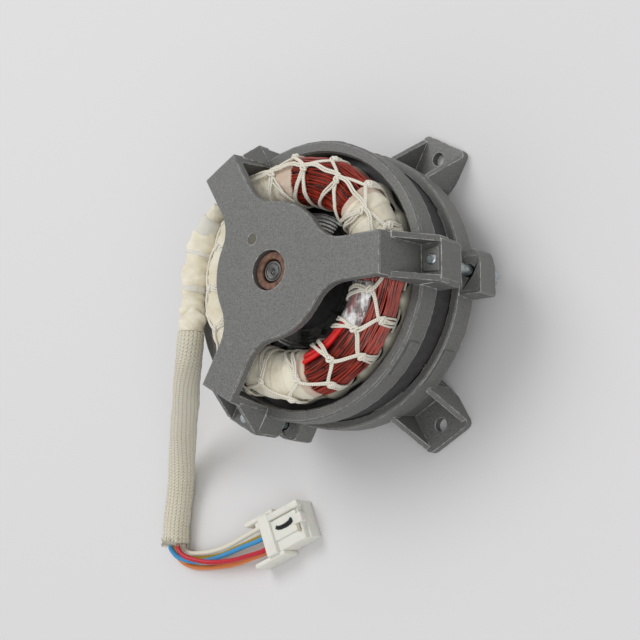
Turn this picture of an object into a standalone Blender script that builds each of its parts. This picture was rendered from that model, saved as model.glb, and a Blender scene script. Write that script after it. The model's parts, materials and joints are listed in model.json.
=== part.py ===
"""Open-frame fan motor with a three-arm cast front bracket, a rear bracket with three feet,
a laced end winding and a sleeved lead harness that ends in a nylon connector.

Sizes are in millimetres and turn into metres where a mesh is made. The shaft axis is Z, the
undersides of the feet are at z = 0, the front face is up, and +X runs along one front arm.
"""
import math

import bmesh
import bpy
from mathutils import Matrix, Vector

MM = 0.001
CLEAR = 0.3
RING_SIDES = 48

# Heights along the shaft, measured from the undersides of the feet
FACE_Z = 84.0
PLATE_T = 4.0
FRONT_RING_TOP = 58.0
FRONT_RING_BOTTOM = 46.0
REAR_RING_TOP = 36.5
REAR_RING_BOTTOM = 18.0
CORE_FRONT = 51.0
CORE_REAR = 27.0
REAR_PLATE_BOTTOM = 1.0
REAR_PLATE_T = 4.0

# Bracket rings and the stator stack that they clamp
CORE_R = 61.0
RING_BORE_R = 58.8
FRONT_RING_R = 64.4
REAR_RING_R = 65.0
RING_DRAFT = 0.8
RING_CHAMFER = 0.9

# Front spider: hub disc, arms and the legs that turn back to the ring
HUB_R = 31.0
ARM_TIP_R = 60.0
ARM_HALF_W = 9.6
ARM_FILLET = 17.2
EDGE_CHAMFER = 0.5
LEG_T = 4.4
LEG_FOOT_R = 63.3
FLANGE_T = 2.3
FLANGE_START = 7.0

# Lugs and through-bolts
BOLT_CIRCLE_R = 69.0
BOLT_D = 5.0
FRONT_LUG_R = 73.6
FRONT_LUG_HALF_W = 10.2
FRONT_LUG_DROP = 3.0
REAR_LUG_R = 79.0
REAR_LUG_T = 14.0
REAR_LUG_LONG = 14.5
REAR_LUG_SHORT = 9.5
REAR_LUG_RIM = 3.0
REAR_LUG_POCKET = 6.0
BOLT_END = 1.6
BOLT_HEAD_D = 9.0
BOLT_HEAD_T = 3.4
WASHER_D = 10.0
WASHER_T = 1.0
LOCK_WASHER_D = 8.6
LOCK_WASHER_T = 1.2

# Rear spider and mounting feet
REAR_HUB_R = 28.0
REAR_ARM_HALF_W = 9.4
FOOT_HOLE_R = 72.4
FOOT_HOLE_D = 6.5
FOOT_END_R = 80.6
FOOT_HALF_W = 12.6
FOOT_T = 4.0
FOOT_CORNER = 3.0
FOOT_START_R = 54.0
GUSSET_T = 2.6
GUSSET_TOP = 22.0
GUSSET_TOE = 3.2

# Bearings
JOURNAL_D = 10.0
BUSH_OD = 17.7
BUSH_LENGTH = 12.0
BUSH_RECESS = 2.0
HUB_BOSS_R = 13.4
FELT_POCKET_R = 11.0
FELT_T = 2.4
RETAINER_T = 1.2
BOSS_RIM = 0.6

# Rotor
SHAFT_RECESS = 3.0
SHAFT_TAIL = 60.0
SHAFT_BODY_D = 12.4
SHAFT_FLAT_LENGTH = 30.0
SHAFT_FLAT_DEPTH = 1.0
AIR_GAP = 0.5
BORE_R = 33.0
BAR_COUNT = 18
BAR_R = 1.7
BAR_CIRCLE_R = 28.4
CAGE_RING_IN = 22.0
CAGE_RING_T = 5.6
FIN_COUNT = 8
FIN_HEIGHT = 5.5
FIN_T = 1.6
PIN_R = 1.5
PIN_HEIGHT = 4.0
THRUST_WASHER_T = 0.8
THRUST_WASHER_R = 8.4

# Slotted stator core
SLOT_COUNT = 24
TOOTH_W = 4.2
SLOT_TOP_R = 36.0
SLOT_FLOOR_R = 52.0
SLOT_MOUTH = 2.2
TOOTH_TIP_T = 1.2

# End windings: a ring of wire with a rounded square section
COIL_R = 44.5
COIL_HALF_W = 9.0
FRONT_COIL_Z = 62.3
FRONT_COIL_HALF_H = 8.2
REAR_COIL_Z = 17.4
REAR_COIL_HALF_H = 6.4
COIL_SQUARENESS = 2.4
COIL_STATIONS = 60
COIL_SIDES = 16
BARE_SWELL = 1.1
FILM_BED = 0.6
LEAD_BED = -1.4
PRESSED = -1.5
PRESSED_SPAN = (132, 216)
PRESSED_RAMP = 5.0
SLOT_GAP = 0.5

# Tape, film and lacing round the front winding, as angles round the motor
TAPE_SPANS = ((90, 120), (24, 42), (240, 282))
FILM_SPAN = (324, 348)
LEAD_SPAN = (283, 346)
TAPE_T = 0.6
FILM_T = 0.3
LEAD_D = 2.0
LEAD_ROLLS = (126.0, 143.0)
LACING_D = 1.4
LACING_OFFSET = 2.7
LACING_LOOPS = 12
REAR_LACING_LOOPS = 8
COLLAR_R = (55.5, 56.9, 58.2)
COLLAR_TOP = 56.0

# Harness: hand-chosen route points, from the winding over the ring and down to the ground
JOINT_Z = 66.0
JOINT_ROUTE = ((-44.8, 39.6, JOINT_Z), (-54.2, 26.0, JOINT_Z), (-59.2, 11.4, JOINT_Z),
               (-60.8, -2.0, JOINT_Z), (-61.2, -10.0, JOINT_Z), (-61.8, -18.0, JOINT_Z))
JOINT_HALF = (6.4, 6.0)
SLEEVE_D = 12.6
WIRE_D = 2.4
SLEEVE_ROUTE = ((-61.9, -18.9, JOINT_Z), (-62.2, -22.4, JOINT_Z - 0.05), (-65.0, -28.2, 63.6),
                (-71.0, -34.0, 58.2), (-79.6, -39.4, 49.4), (-89.2, -45.0, 39.4), (-98.4, -51.0, 30.2),
                (-106.6, -57.6, 22.2), (-113.2, -65.2, 15.4), (-118.0, -74.0, 10.4), (-121.4, -84.0, 7.6),
                (-123.4, -94.4, 6.6), (-124.5, -103.0, 6.6), (-124.9, -111.4, 6.6))
CONNECTOR_CENTRE = (-49.2, -106.3)
CONNECTOR_TURN = 21.0
CONNECTOR_BACK = -14.0
CONNECTOR_FRONT = 11.0
CONNECTOR_HALF_W = 9.5
CONNECTOR_H = 13.0
WING_BACK = -24.0
WING_T = 2.3
WING_H = 11.0
CAVITY_HALF = 1.75
TERMINAL_HALF = 1.3
TOP_ROW_Z = 9.2
LOW_ROW_Z = 4.6

# Each lead: its cavity across the connector, the cavity's height, and its route from the sleeve
LEADS = {
    "cream": (6.4, TOP_ROW_Z, ((-121.4, -112.2, 4.6), (-121.0, -114.6, 4.5), (-117.2, -116.6, 4.4),
                               (-111.0, -117.0, 4.6), (-101.5, -116.4, 5.2), (-90.0, -114.2, 6.6),
                               (-80.0, -111.0, 8.2))),
    "yellow": (3.8, LOW_ROW_Z, ((-124.8, -112.2, 6.0), (-124.4, -114.8, 5.2), (-121.2, -118.0, 2.8),
                                (-115.5, -119.2, 1.6), (-107.5, -119.0, 1.5), (-97.0, -117.6, 1.9),
                                (-86.0, -114.6, 3.2))),
    "blue": (1.0, TOP_ROW_Z, ((-125.8, -112.2, 9.6), (-125.2, -115.0, 9.2), (-121.6, -119.0, 7.4),
                              (-113.4, -121.0, 5.2), (-101.9, -120.2, 4.8), (-88.6, -117.4, 6.4),
                              (-78.0, -114.9, 8.4))),
    "red": (-4.6, TOP_ROW_Z, ((-121.2, -112.2, 9.0), (-120.4, -114.8, 9.3), (-116.4, -118.2, 9.4),
                              (-109.6, -120.4, 8.6), (-99.4, -121.8, 7.6), (-86.4, -121.2, 7.4),
                              (-76.0, -119.6, 8.6))),
    "orange": (-4.6, LOW_ROW_Z, ((-128.2, -112.2, 4.6), (-127.8, -115.2, 4.0), (-124.2, -120.6, 2.2),
                                 (-116.0, -123.6, 1.5), (-104.5, -124.0, 1.5), (-90.0, -123.0, 2.2),
                                 (-79.5, -121.2, 3.8))),
}

MATERIALS = {
    "cast_aluminium": ((0.34, 0.34, 0.34), 0.55, 0.85),
    "core_steel": ((0.10, 0.10, 0.11), 0.5, 0.8),
    "enamelled_wire": ((0.23, 0.035, 0.02), 0.35, 0.3),
    "cloth_tape": ((0.78, 0.74, 0.64), 0.85, 0.0),
    "clear_film": ((0.75, 0.72, 0.70), 0.15, 0.0),
    "red_lead": ((0.80, 0.03, 0.03), 0.35, 0.0),
    "lacing_cord": ((0.82, 0.79, 0.70), 0.9, 0.0),
    "paper": ((0.80, 0.76, 0.66), 0.8, 0.0),
    "zinc": ((0.66, 0.69, 0.72), 0.3, 1.0),
    "bush_bronze": ((0.25, 0.13, 0.08), 0.6, 0.7),
    "felt": ((0.30, 0.26, 0.20), 1.0, 0.0),
    "spring_steel": ((0.45, 0.45, 0.46), 0.35, 1.0),
    "shaft_steel": ((0.42, 0.42, 0.42), 0.3, 1.0),
    "rotor_aluminium": ((0.62, 0.62, 0.62), 0.4, 1.0),
    "glass_sleeve": ((0.76, 0.72, 0.60), 0.7, 0.0),
    "cream_wire": ((0.83, 0.80, 0.71), 0.4, 0.0),
    "yellow_wire": ((0.85, 0.65, 0.10), 0.4, 0.0),
    "blue_wire": ((0.08, 0.36, 0.66), 0.4, 0.0),
    "red_wire": ((0.66, 0.05, 0.08), 0.4, 0.0),
    "orange_wire": ((0.90, 0.33, 0.10), 0.4, 0.0),
    "nylon": ((0.86, 0.86, 0.80), 0.45, 0.0),
    "terminal_tin": ((0.70, 0.66, 0.55), 0.3, 1.0),
}


def material(name):
    """Return the named Principled material, made on first use."""
    if name in bpy.data.materials:
        return bpy.data.materials[name]
    colour, roughness, metallic = MATERIALS[name]
    mat = bpy.data.materials.new(name)
    mat.use_nodes = True
    shader = mat.node_tree.nodes["Principled BSDF"]
    shader.inputs["Base Color"].default_value = (*colour, 1.0)
    shader.inputs["Roughness"].default_value = roughness
    shader.inputs["Metallic"].default_value = metallic
    return mat


def polar(radius, degrees, z=None):
    """Point at a radius and an angle round the shaft axis."""
    a = math.radians(degrees)
    flat = (radius * math.cos(a), radius * math.sin(a))
    return flat if z is None else (*flat, z)


def turned_about_z(points, degrees):
    """Rotate flat points about the shaft axis."""
    c, s = math.cos(math.radians(degrees)), math.sin(math.radians(degrees))
    return [(c * x - s * y, s * x + c * y) for x, y in points]


def arc(centre, radius, start, end, steps):
    """Points along a flat arc from one angle to another, both ends included."""
    return [(centre[0] + radius * math.cos(math.radians(start + (end - start) * i / steps)),
             centre[1] + radius * math.sin(math.radians(start + (end - start) * i / steps)))
            for i in range(steps + 1)]


def circle(radius, sides, centre=(0.0, 0.0), phase=0.0):
    """Points round a full circle."""
    return arc(centre, radius, phase, phase + 360.0, sides)[:-1]


def finish_object(name, bm, material_name):
    """Turn a bmesh in millimetres into a shaded object in metres."""
    bmesh.ops.remove_doubles(bm, verts=bm.verts, dist=1e-4)
    bmesh.ops.recalc_face_normals(bm, faces=bm.faces)
    bmesh.ops.scale(bm, vec=(MM, MM, MM), verts=bm.verts)
    mesh = bpy.data.meshes.new(name)
    bm.to_mesh(mesh)
    bm.free()
    mesh.shade_smooth()
    mesh.set_sharp_from_angle(angle=math.radians(35))
    mesh.materials.append(material(material_name))
    obj = bpy.data.objects.new(name, mesh)
    bpy.context.scene.collection.objects.link(obj)
    return obj


def turned(name, profile, material_name, steps=48):
    """Spin a closed (radius, z) profile round the shaft axis."""
    bm = bmesh.new()
    verts = [bm.verts.new((r, 0.0, z)) for r, z in profile]
    edges = [bm.edges.new((verts[i - 1], verts[i])) for i in range(len(verts))]
    bmesh.ops.spin(bm, geom=verts + edges, axis=(0, 0, 1), cent=(0, 0, 0),
                   angle=math.tau, steps=steps, use_merge=True)
    return finish_object(name, bm, material_name)


def plate(name, outline, holes, bottom, top, material_name, chamfer=0.0):
    """Extrude a flat outline with holes, with an optional chamfer round its top edge."""
    bm = bmesh.new()
    edges = []
    for loop in [outline] + list(holes):
        verts = [bm.verts.new((x, y, bottom)) for x, y in loop]
        edges += [bm.edges.new((verts[i - 1], verts[i])) for i in range(len(verts))]
    bmesh.ops.triangle_fill(bm, use_beauty=True, edges=edges)
    raised = bmesh.ops.extrude_face_region(bm, geom=bm.faces[:])
    lifted = [v for v in raised["geom"] if isinstance(v, bmesh.types.BMVert)]
    bmesh.ops.translate(bm, vec=(0, 0, top - bottom), verts=lifted)
    bmesh.ops.recalc_face_normals(bm, faces=bm.faces)
    if chamfer:
        rim = [e for e in bm.edges if all(abs(v.co.z - top) < 1e-4 for v in e.verts)
               and any(abs(f.normal.z) < 0.5 for f in e.link_faces)]
        bmesh.ops.bevel(bm, geom=rim, offset=chamfer, offset_type='OFFSET', segments=1,
                        profile=0.5, affect='EDGES')
    return finish_object(name, bm, material_name)


def side_profile(name, points, y0, y1, degrees, material_name):
    """Extrude an (x, z) profile from y0 to y1, then turn it about the shaft axis."""
    bm = bmesh.new()
    verts = [bm.verts.new((x, y0, z)) for x, z in points]
    face = bm.faces.new(verts)
    raised = bmesh.ops.extrude_face_region(bm, geom=[face])
    lifted = [v for v in raised["geom"] if isinstance(v, bmesh.types.BMVert)]
    bmesh.ops.translate(bm, vec=(0, y1 - y0, 0), verts=lifted)
    bmesh.ops.rotate(bm, cent=(0, 0, 0), matrix=Matrix.Rotation(math.radians(degrees), 3, 'Z'),
                     verts=bm.verts)
    return finish_object(name, bm, material_name)


def combine(target, parts, operation):
    """Join or cut a target with a hidden collection of parts through one exact Boolean."""
    group = bpy.data.collections.new(f"{target.name}_{operation.lower()}")
    bpy.context.scene.collection.children.link(group)
    for part in parts:
        bpy.context.scene.collection.objects.unlink(part)
        group.objects.link(part)
        part.hide_render = True
        part.display_type = 'WIRE'
    modifier = target.modifiers.new(operation.title(), 'BOOLEAN')
    modifier.operation = operation
    modifier.solver = 'EXACT'
    modifier.operand_type = 'COLLECTION'
    modifier.collection = group


def drill(name, radius, centre, bottom, top, sides=16):
    """A round cutter standing along Z."""
    return plate(name, circle(radius, sides, centre, 180.0 / sides), (), bottom, top, "zinc")


def wire(name, points, diameter, material_name, resolution=2, cyclic=False):
    """A round wire along a list of points, with filled ends."""
    curve = bpy.data.curves.new(name, 'CURVE')
    curve.dimensions = '3D'
    curve.bevel_depth = diameter / 2 * MM
    curve.bevel_resolution = resolution
    curve.use_fill_caps = True
    spline = curve.splines.new('POLY')
    spline.points.add(len(points) - 1)
    for point, co in zip(spline.points, points):
        point.co = (co[0] * MM, co[1] * MM, co[2] * MM, 1.0)
    spline.use_cyclic_u = cyclic
    curve.materials.append(material(material_name))
    obj = bpy.data.objects.new(name, curve)
    bpy.context.scene.collection.objects.link(obj)
    return obj


def smooth_route(points, spacing):
    """Evenly spaced points on a Catmull-Rom curve through a route's own points."""
    pts = [Vector(p) for p in points]
    pts = [2 * pts[0] - pts[1]] + pts + [2 * pts[-1] - pts[-2]]
    dense = []
    for a, b, c, d in zip(pts, pts[1:], pts[2:], pts[3:]):
        for i in range(20):
            t = i / 20
            dense.append(0.5 * (2 * b + (c - a) * t + (2 * a - 5 * b + 4 * c - d) * t * t
                                + (3 * b - a - 3 * c + d) * t ** 3))
    dense.append(pts[-2])
    lengths = [0.0]
    for a, b in zip(dense, dense[1:]):
        lengths.append(lengths[-1] + (b - a).length)
    count = max(3, round(lengths[-1] / spacing))
    result, j = [], 0
    for i in range(count + 1):
        wanted = lengths[-1] * i / count
        while j < len(dense) - 2 and lengths[j + 1] < wanted:
            j += 1
        share = (wanted - lengths[j]) / max(lengths[j + 1] - lengths[j], 1e-9)
        result.append(dense[j].lerp(dense[j + 1], share))
    return result


def spider_outline(hub_r, half_w, fillet, tip_r, phase):
    """Three straight arms that grow out of a round hub through concave fillets."""
    across = half_w + fillet
    along = math.sqrt((hub_r + fillet) ** 2 - across ** 2)
    turn = math.degrees(math.atan2(across, along))
    points = []
    for k in range(3):
        lower = arc((along, -across), fillet, 180.0 - turn, 90.0, 5)
        upper = arc((along, across), fillet, -90.0, -180.0 + turn, 5)
        hub = arc((0.0, 0.0), hub_r, turn, 120.0 - turn, 8)[1:-1]
        arm = lower + [(tip_r, -half_w), (tip_r, half_w)] + upper + hub
        points += turned_about_z(arm, phase + 120.0 * k)
    return points


def coil_point(angle, roll, coil_z, half_h, swell):
    """Point on the winding's section: roll 0 is outward, 90 is up, swell grows the section."""
    power = 2.0 / COIL_SQUARENESS
    c, s = math.cos(math.radians(roll)), math.sin(math.radians(roll))
    out = math.copysign(abs(c) ** power, c) * (COIL_HALF_W + swell)
    up = math.copysign(abs(s) ** power, s) * (half_h + swell)
    return polar(COIL_R + out, angle, coil_z + up)


def in_span(angle, span):
    return span[0] - 1e-6 <= angle <= span[1] + 1e-6


def front_swell(angle, roll):
    """How far the bare wire bulges past the section that the tape holds."""
    if in_span(angle, PRESSED_SPAN):
        return PRESSED
    if in_span(angle, (TAPE_SPANS[2][1], FILM_SPAN[1])) and 90 < roll < 165:
        return LEAD_BED
    if any(in_span(angle, span) for span in TAPE_SPANS):
        return 0.0
    if in_span(angle, FILM_SPAN):
        return FILM_BED
    return BARE_SWELL


def closed_ring(name, stations, sides, point, material_name):
    """Skin a full ring from a function of its angle and its roll."""
    bm = bmesh.new()
    grid = [[bm.verts.new(point(360.0 * i / stations, 360.0 * j / sides)) for j in range(sides)]
            for i in range(stations)]
    for i in range(stations):
        for j in range(sides):
            bm.faces.new((grid[i - 1][j - 1], grid[i][j - 1], grid[i][j], grid[i - 1][j]))
    return finish_object(name, bm, material_name)


def wrap(name, span, rolls, coil_z, half_h, inner, thickness, material_name):
    """A sheet of even thickness bent round part of the winding, open underneath."""
    step = 360.0 / COIL_SIDES
    rolls = [rolls[0] + step * j for j in range(round((rolls[1] - rolls[0]) / step) + 1)]
    count = round((span[1] - span[0]) * COIL_STATIONS / 360.0)
    angles = [span[0] + (span[1] - span[0]) * i / count for i in range(count + 1)]
    bm = bmesh.new()
    skins = [[[bm.verts.new(coil_point(a, r, coil_z, half_h, s)) for r in rolls] for a in angles]
             for s in (inner, inner + thickness)]
    for skin in skins:
        for i in range(count):
            for j in range(len(rolls) - 1):
                bm.faces.new((skin[i][j], skin[i + 1][j], skin[i + 1][j + 1], skin[i][j + 1]))
    low, high = skins
    for i in range(count):
        for j in (0, -1):
            bm.faces.new((low[i][j], low[i + 1][j], high[i + 1][j], high[i][j]))
    for j in range(len(rolls) - 1):
        for i in (0, -1):
            bm.faces.new((low[i][j], low[i][j + 1], high[i][j + 1], high[i][j]))
    return finish_object(name, bm, material_name)


def front_lacing_offset(angle):
    """Height of the cord's centre over the taped section, lower where the lead bundle lies."""
    depth = min(angle - PRESSED_SPAN[0], PRESSED_SPAN[1] - angle) / PRESSED_RAMP
    share = min(max(depth + 1.0, 0.0), 1.0)
    low = PRESSED + CLEAR + LACING_D / 2
    return LACING_OFFSET + (low - LACING_OFFSET) * share


def lacing_path(coil_z, half_h, offset, loops, per_loop, away, core_z):
    """One cord that circles the winding between teeth, then steps on along its crown.

    The crown points away from the core (away is 1 or -1), and the cord stays clear of core_z.
    """
    points = []
    for loop in range(loops):
        for i in range(per_loop):
            share = i / per_loop
            roll = 60.0 - 360.0 * share
            advance = max(0.0, share - 0.75) / 0.25
            angle = 360.0 / loops * (loop + advance)
            x, y, z = coil_point(angle, roll, coil_z, half_h, offset(angle))
            rise = max(z - coil_z, away * (core_z - coil_z))
            points.append((x, y, coil_z + away * rise))
    return points


def front_bracket():
    """Cast ring, face spider, three legs with side flanges, and three threaded lugs."""
    top, bottom = FRONT_RING_TOP, FRONT_RING_BOTTOM
    seat_r, seat_z = CORE_R + CLEAR, CORE_FRONT + CLEAR
    bracket = turned("front_bracket", [
        (RING_BORE_R, seat_z), (RING_BORE_R, top - RING_CHAMFER), (RING_BORE_R + RING_CHAMFER, top),
        (FRONT_RING_R - RING_CHAMFER, top), (FRONT_RING_R, top - RING_CHAMFER),
        (FRONT_RING_R - RING_DRAFT * 0.5, bottom), (seat_r, bottom), (seat_r, seat_z)],
        "cast_aluminium", RING_SIDES)
    under = FACE_Z - PLATE_T
    parts = [plate("front_face", spider_outline(HUB_R, ARM_HALF_W, ARM_FILLET, ARM_TIP_R, 0.0), (),
                   under, FACE_Z, "cast_aluminium", EDGE_CHAMFER)]
    bush_end = FACE_Z - BUSH_RECESS - BUSH_LENGTH
    boss_end = bush_end - CLEAR - FELT_T - CLEAR - RETAINER_T - BOSS_RIM
    parts.append(turned("front_hub", [(0.0, boss_end), (HUB_BOSS_R, boss_end),
                                      (HUB_BOSS_R + 0.8, under - 5.0), (HUB_BOSS_R + 4.0, under + 1.0),
                                      (0.0, under + 1.0)], "cast_aluminium", 32))
    leg_top = FACE_Z - EDGE_CHAMFER - 0.4
    cuts = [drill("front_bush_bore", BUSH_OD / 2 + CLEAR, (0, 0), boss_end - 1, FACE_Z + 1, 32),
            drill("front_felt_pocket", FELT_POCKET_R, (0, 0), boss_end - 1, bush_end - CLEAR, 32),
            drill("front_gate_mark", 2.6, polar(18.2, 123.0), FACE_Z - 0.4, FACE_Z + 1, 16)]
    for k in range(3):
        turn = 120.0 * k
        parts.append(side_profile(f"front_leg_{k}", [
            (ARM_TIP_R, leg_top), (ARM_TIP_R - LEG_T, leg_top), (LEG_FOOT_R - LEG_T + 0.6, top - 1.5),
            (LEG_FOOT_R, top - 1.5)], -ARM_HALF_W, ARM_HALF_W, turn, "cast_aluminium"))
        start = FACE_Z - FLANGE_START
        lean = (LEG_FOOT_R - ARM_TIP_R) * FLANGE_START / (FACE_Z - top)
        for side in (-1, 1):
            ys = sorted((side * (ARM_HALF_W + 0.4), side * (ARM_HALF_W - FLANGE_T)))
            parts.append(side_profile(f"front_flange_{k}_{side}", [
                (ARM_TIP_R + lean - 1.5, start), (ARM_TIP_R + lean + 0.3, start),
                (FRONT_LUG_R - 0.6, top + 0.4), (FRONT_LUG_R - 0.6, top - 6.0),
                (LEG_FOOT_R - 2.0, top - 6.0)], ys[0], ys[1], turn, "cast_aluminium"))
        w, r, c = FRONT_LUG_HALF_W, FRONT_LUG_R, 1.8
        block = [(CORE_R + 0.8, -w), (r - c, -w), (r, -w + c), (r, w - c), (r - c, w), (CORE_R + 0.8, w)]
        parts.append(plate(f"front_lug_{k}", turned_about_z(block, turn), (),
                           bottom - FRONT_LUG_DROP, top, "cast_aluminium"))
        cuts.append(drill(f"front_bolt_thread_{k}", BOLT_D / 2 + CLEAR, polar(BOLT_CIRCLE_R, turn),
                          bottom - FRONT_LUG_DROP - 1, top + 1))
    combine(bracket, parts, 'UNION')
    combine(bracket, cuts, 'DIFFERENCE')


def rear_bracket():
    """Cast ring with pocketed bolt lugs, a three-arm end spider and gusseted mounting feet."""
    top, bottom = REAR_RING_TOP, REAR_RING_BOTTOM
    seat_r, seat_z = CORE_R + CLEAR, CORE_REAR - CLEAR
    bracket = turned("rear_bracket", [
        (RING_BORE_R, bottom), (REAR_RING_R - RING_DRAFT, bottom), (REAR_RING_R, top - RING_CHAMFER),
        (REAR_RING_R - RING_CHAMFER, top), (seat_r, top), (seat_r, seat_z), (RING_BORE_R, seat_z)],
        "cast_aluminium", RING_SIDES)
    plate_top = REAR_PLATE_BOTTOM + REAR_PLATE_T
    parts = [plate("rear_face", spider_outline(REAR_HUB_R, REAR_ARM_HALF_W, ARM_FILLET, ARM_TIP_R, 60.0),
                   (), REAR_PLATE_BOTTOM, plate_top, "cast_aluminium")]
    bush_end = REAR_PLATE_BOTTOM + BUSH_RECESS + BUSH_LENGTH
    boss_end = bush_end + CLEAR + FELT_T + CLEAR + RETAINER_T + BOSS_RIM
    parts.append(turned("rear_hub", [(0.0, REAR_PLATE_BOTTOM + 1.0), (HUB_BOSS_R + 4.0, REAR_PLATE_BOTTOM + 1.0),
                                     (HUB_BOSS_R + 4.0, plate_top), (HUB_BOSS_R + 0.8, plate_top + 4.0),
                                     (HUB_BOSS_R, boss_end), (0.0, boss_end)], "cast_aluminium", 32))
    cuts = [drill("rear_bush_bore", BUSH_OD / 2 + CLEAR, (0, 0), REAR_PLATE_BOTTOM - 1, boss_end + 1, 32),
            drill("rear_felt_pocket", FELT_POCKET_R, (0, 0), bush_end + CLEAR, boss_end + 1, 32)]
    for k in range(3):
        turn = 60.0 + 120.0 * k
        w, r, c = FOOT_HALF_W, FOOT_END_R, FOOT_CORNER
        foot = [(FOOT_START_R, -REAR_ARM_HALF_W), (REAR_RING_R, -w)] + arc((r - c, -w + c), c, -90, 0, 3) \
            + arc((r - c, w - c), c, 0, 90, 3) + [(REAR_RING_R, w), (FOOT_START_R, REAR_ARM_HALF_W)]
        parts.append(plate(f"foot_{k}", turned_about_z(foot, turn), (), 0.0, FOOT_T, "cast_aluminium"))
        parts.append(side_profile(f"rear_leg_{k}", [
            (ARM_TIP_R - LEG_T, FOOT_T - 1.0), (ARM_TIP_R + 1.0, FOOT_T - 1.0),
            (REAR_RING_R - RING_DRAFT - 1.2, bottom + 1.5), (RING_BORE_R + 0.8, bottom + 1.5)],
            -REAR_ARM_HALF_W, REAR_ARM_HALF_W, turn, "cast_aluminium"))
        for side in (-1, 1):
            ys = sorted((side * w, side * (w - GUSSET_T)))
            parts.append(side_profile(f"gusset_{k}_{side}", [
                (ARM_TIP_R + 0.6, FOOT_T - 1.0), (r - c, FOOT_T - 1.0), (r - c, FOOT_T + GUSSET_TOE),
                (REAR_RING_R - 1.0, GUSSET_TOP), (RING_BORE_R + 2.0, GUSSET_TOP)],
                ys[0], ys[1], turn, "cast_aluminium"))
        cuts.append(drill(f"foot_hole_{k}", FOOT_HOLE_D / 2, polar(FOOT_HOLE_R, turn), -1.0, FOOT_T + 2.0))
        turn = 120.0 * k
        inner, r, c = CORE_R + 0.8, REAR_LUG_R, 3.2
        low, high, rim = -REAR_LUG_LONG, REAR_LUG_SHORT, REAR_LUG_RIM
        lug = [(inner, low), (r - 1.2, low), (r, low + 1.2), (r, high - 2 * c), (r - c, high - c * 0.5),
               (r - 2 * c, high), (inner, high)]
        parts.append(plate(f"rear_lug_{k}", turned_about_z(lug, turn), (), bottom,
                           bottom + REAR_LUG_T, "cast_aluminium"))
        pocket = [(REAR_RING_R + 0.4, low + rim), (r - rim - 1.5, low + rim), (r - rim, low + rim + 2.0),
                  (r - rim, high - rim - 2.5), (r - rim - 2.5, high - rim), (REAR_RING_R + 0.4, high - rim)]
        cuts.append(plate(f"rear_pocket_{k}", turned_about_z(pocket, turn), (),
                          bottom + REAR_LUG_T - REAR_LUG_POCKET, bottom + REAR_LUG_T + 1, "zinc"))
        cuts.append(drill(f"rear_bolt_hole_{k}", BOLT_D / 2 + 2 * CLEAR, polar(BOLT_CIRCLE_R, turn),
                          bottom - 1, bottom + REAR_LUG_T))
    combine(bracket, parts, 'UNION')
    combine(bracket, cuts, 'DIFFERENCE')


def through_bolts():
    """Three bolts with their washers: heads under the rear lugs, ends proud of the front lugs."""
    head_top = REAR_RING_BOTTOM - CLEAR - WASHER_T - CLEAR - LOCK_WASHER_T - CLEAR
    for k in range(3):
        centre = polar(BOLT_CIRCLE_R, 120.0 * k)
        bolt = plate(f"through_bolt_{k + 1}", circle(BOLT_D / 2, 12, centre), (), head_top - 1.0,
                     FRONT_RING_TOP + BOLT_END, "zinc", 0.5)
        head = plate(f"bolt_head_{k}", circle(BOLT_HEAD_D / 2, 6, centre), (),
                     head_top - BOLT_HEAD_T, head_top, "zinc")
        combine(bolt, [head], 'UNION')
        bore = circle(BOLT_D / 2 + CLEAR, 12, centre)
        top = REAR_RING_BOTTOM - CLEAR
        plate(f"flat_washer_{k + 1}", circle(WASHER_D / 2, 16, centre), [bore], top - WASHER_T, top, "zinc")
        top -= WASHER_T + CLEAR
        ring = arc((0, 0), LOCK_WASHER_D / 2, 8.0, 352.0, 16) + arc((0, 0), BOLT_D / 2 + CLEAR, 350.0, 10.0, 12)
        ring = [(x + centre[0], y + centre[1]) for x, y in ring]
        plate(f"lock_washer_{k + 1}", ring, (), top - LOCK_WASHER_T, top, "spring_steel")


def bearings():
    """Bush, oil felt and retaining washer of each end, stacked inside the hub bosses."""
    bore, seat = JOURNAL_D / 2 + CLEAR, BUSH_OD / 2
    for end, outer, sign in (("front", FACE_Z, -1), ("rear", REAR_PLATE_BOTTOM, 1)):
        a = outer + sign * BUSH_RECESS
        b = a + sign * BUSH_LENGTH
        turned(f"{end}_bush", [(bore + 0.5, a), (seat - 0.4, a), (seat, a + sign * 0.4), (seat, b),
                               (bore, b), (bore, a + sign * 0.5)], "bush_bronze", 24)
        c = b + sign * 2 * CLEAR
        d = c + sign * FELT_T - sign * CLEAR
        turned(f"{end}_oil_felt", [(bore + 0.4, c), (FELT_POCKET_R - CLEAR, c), (FELT_POCKET_R - CLEAR, d),
                                   (bore + 0.4, d)], "felt", 20)
        e = d + sign * CLEAR
        f = e + sign * RETAINER_T
        turned(f"{end}_felt_retainer", [(bore + 0.8, e), (FELT_POCKET_R - CLEAR, e), (FELT_POCKET_R - CLEAR, f),
                                        (bore + 0.8, f)], "spring_steel", 20)


def thrust_faces():
    """Heights of the two shaft shoulders, one thrust washer inside each hub boss."""
    stack = BUSH_RECESS + BUSH_LENGTH + FELT_T + RETAINER_T + 2 * CLEAR + BOSS_RIM
    front = FACE_Z - stack - CLEAR - THRUST_WASHER_T - CLEAR
    rear = REAR_PLATE_BOTTOM + stack + CLEAR + THRUST_WASHER_T + CLEAR
    return front, rear


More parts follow.
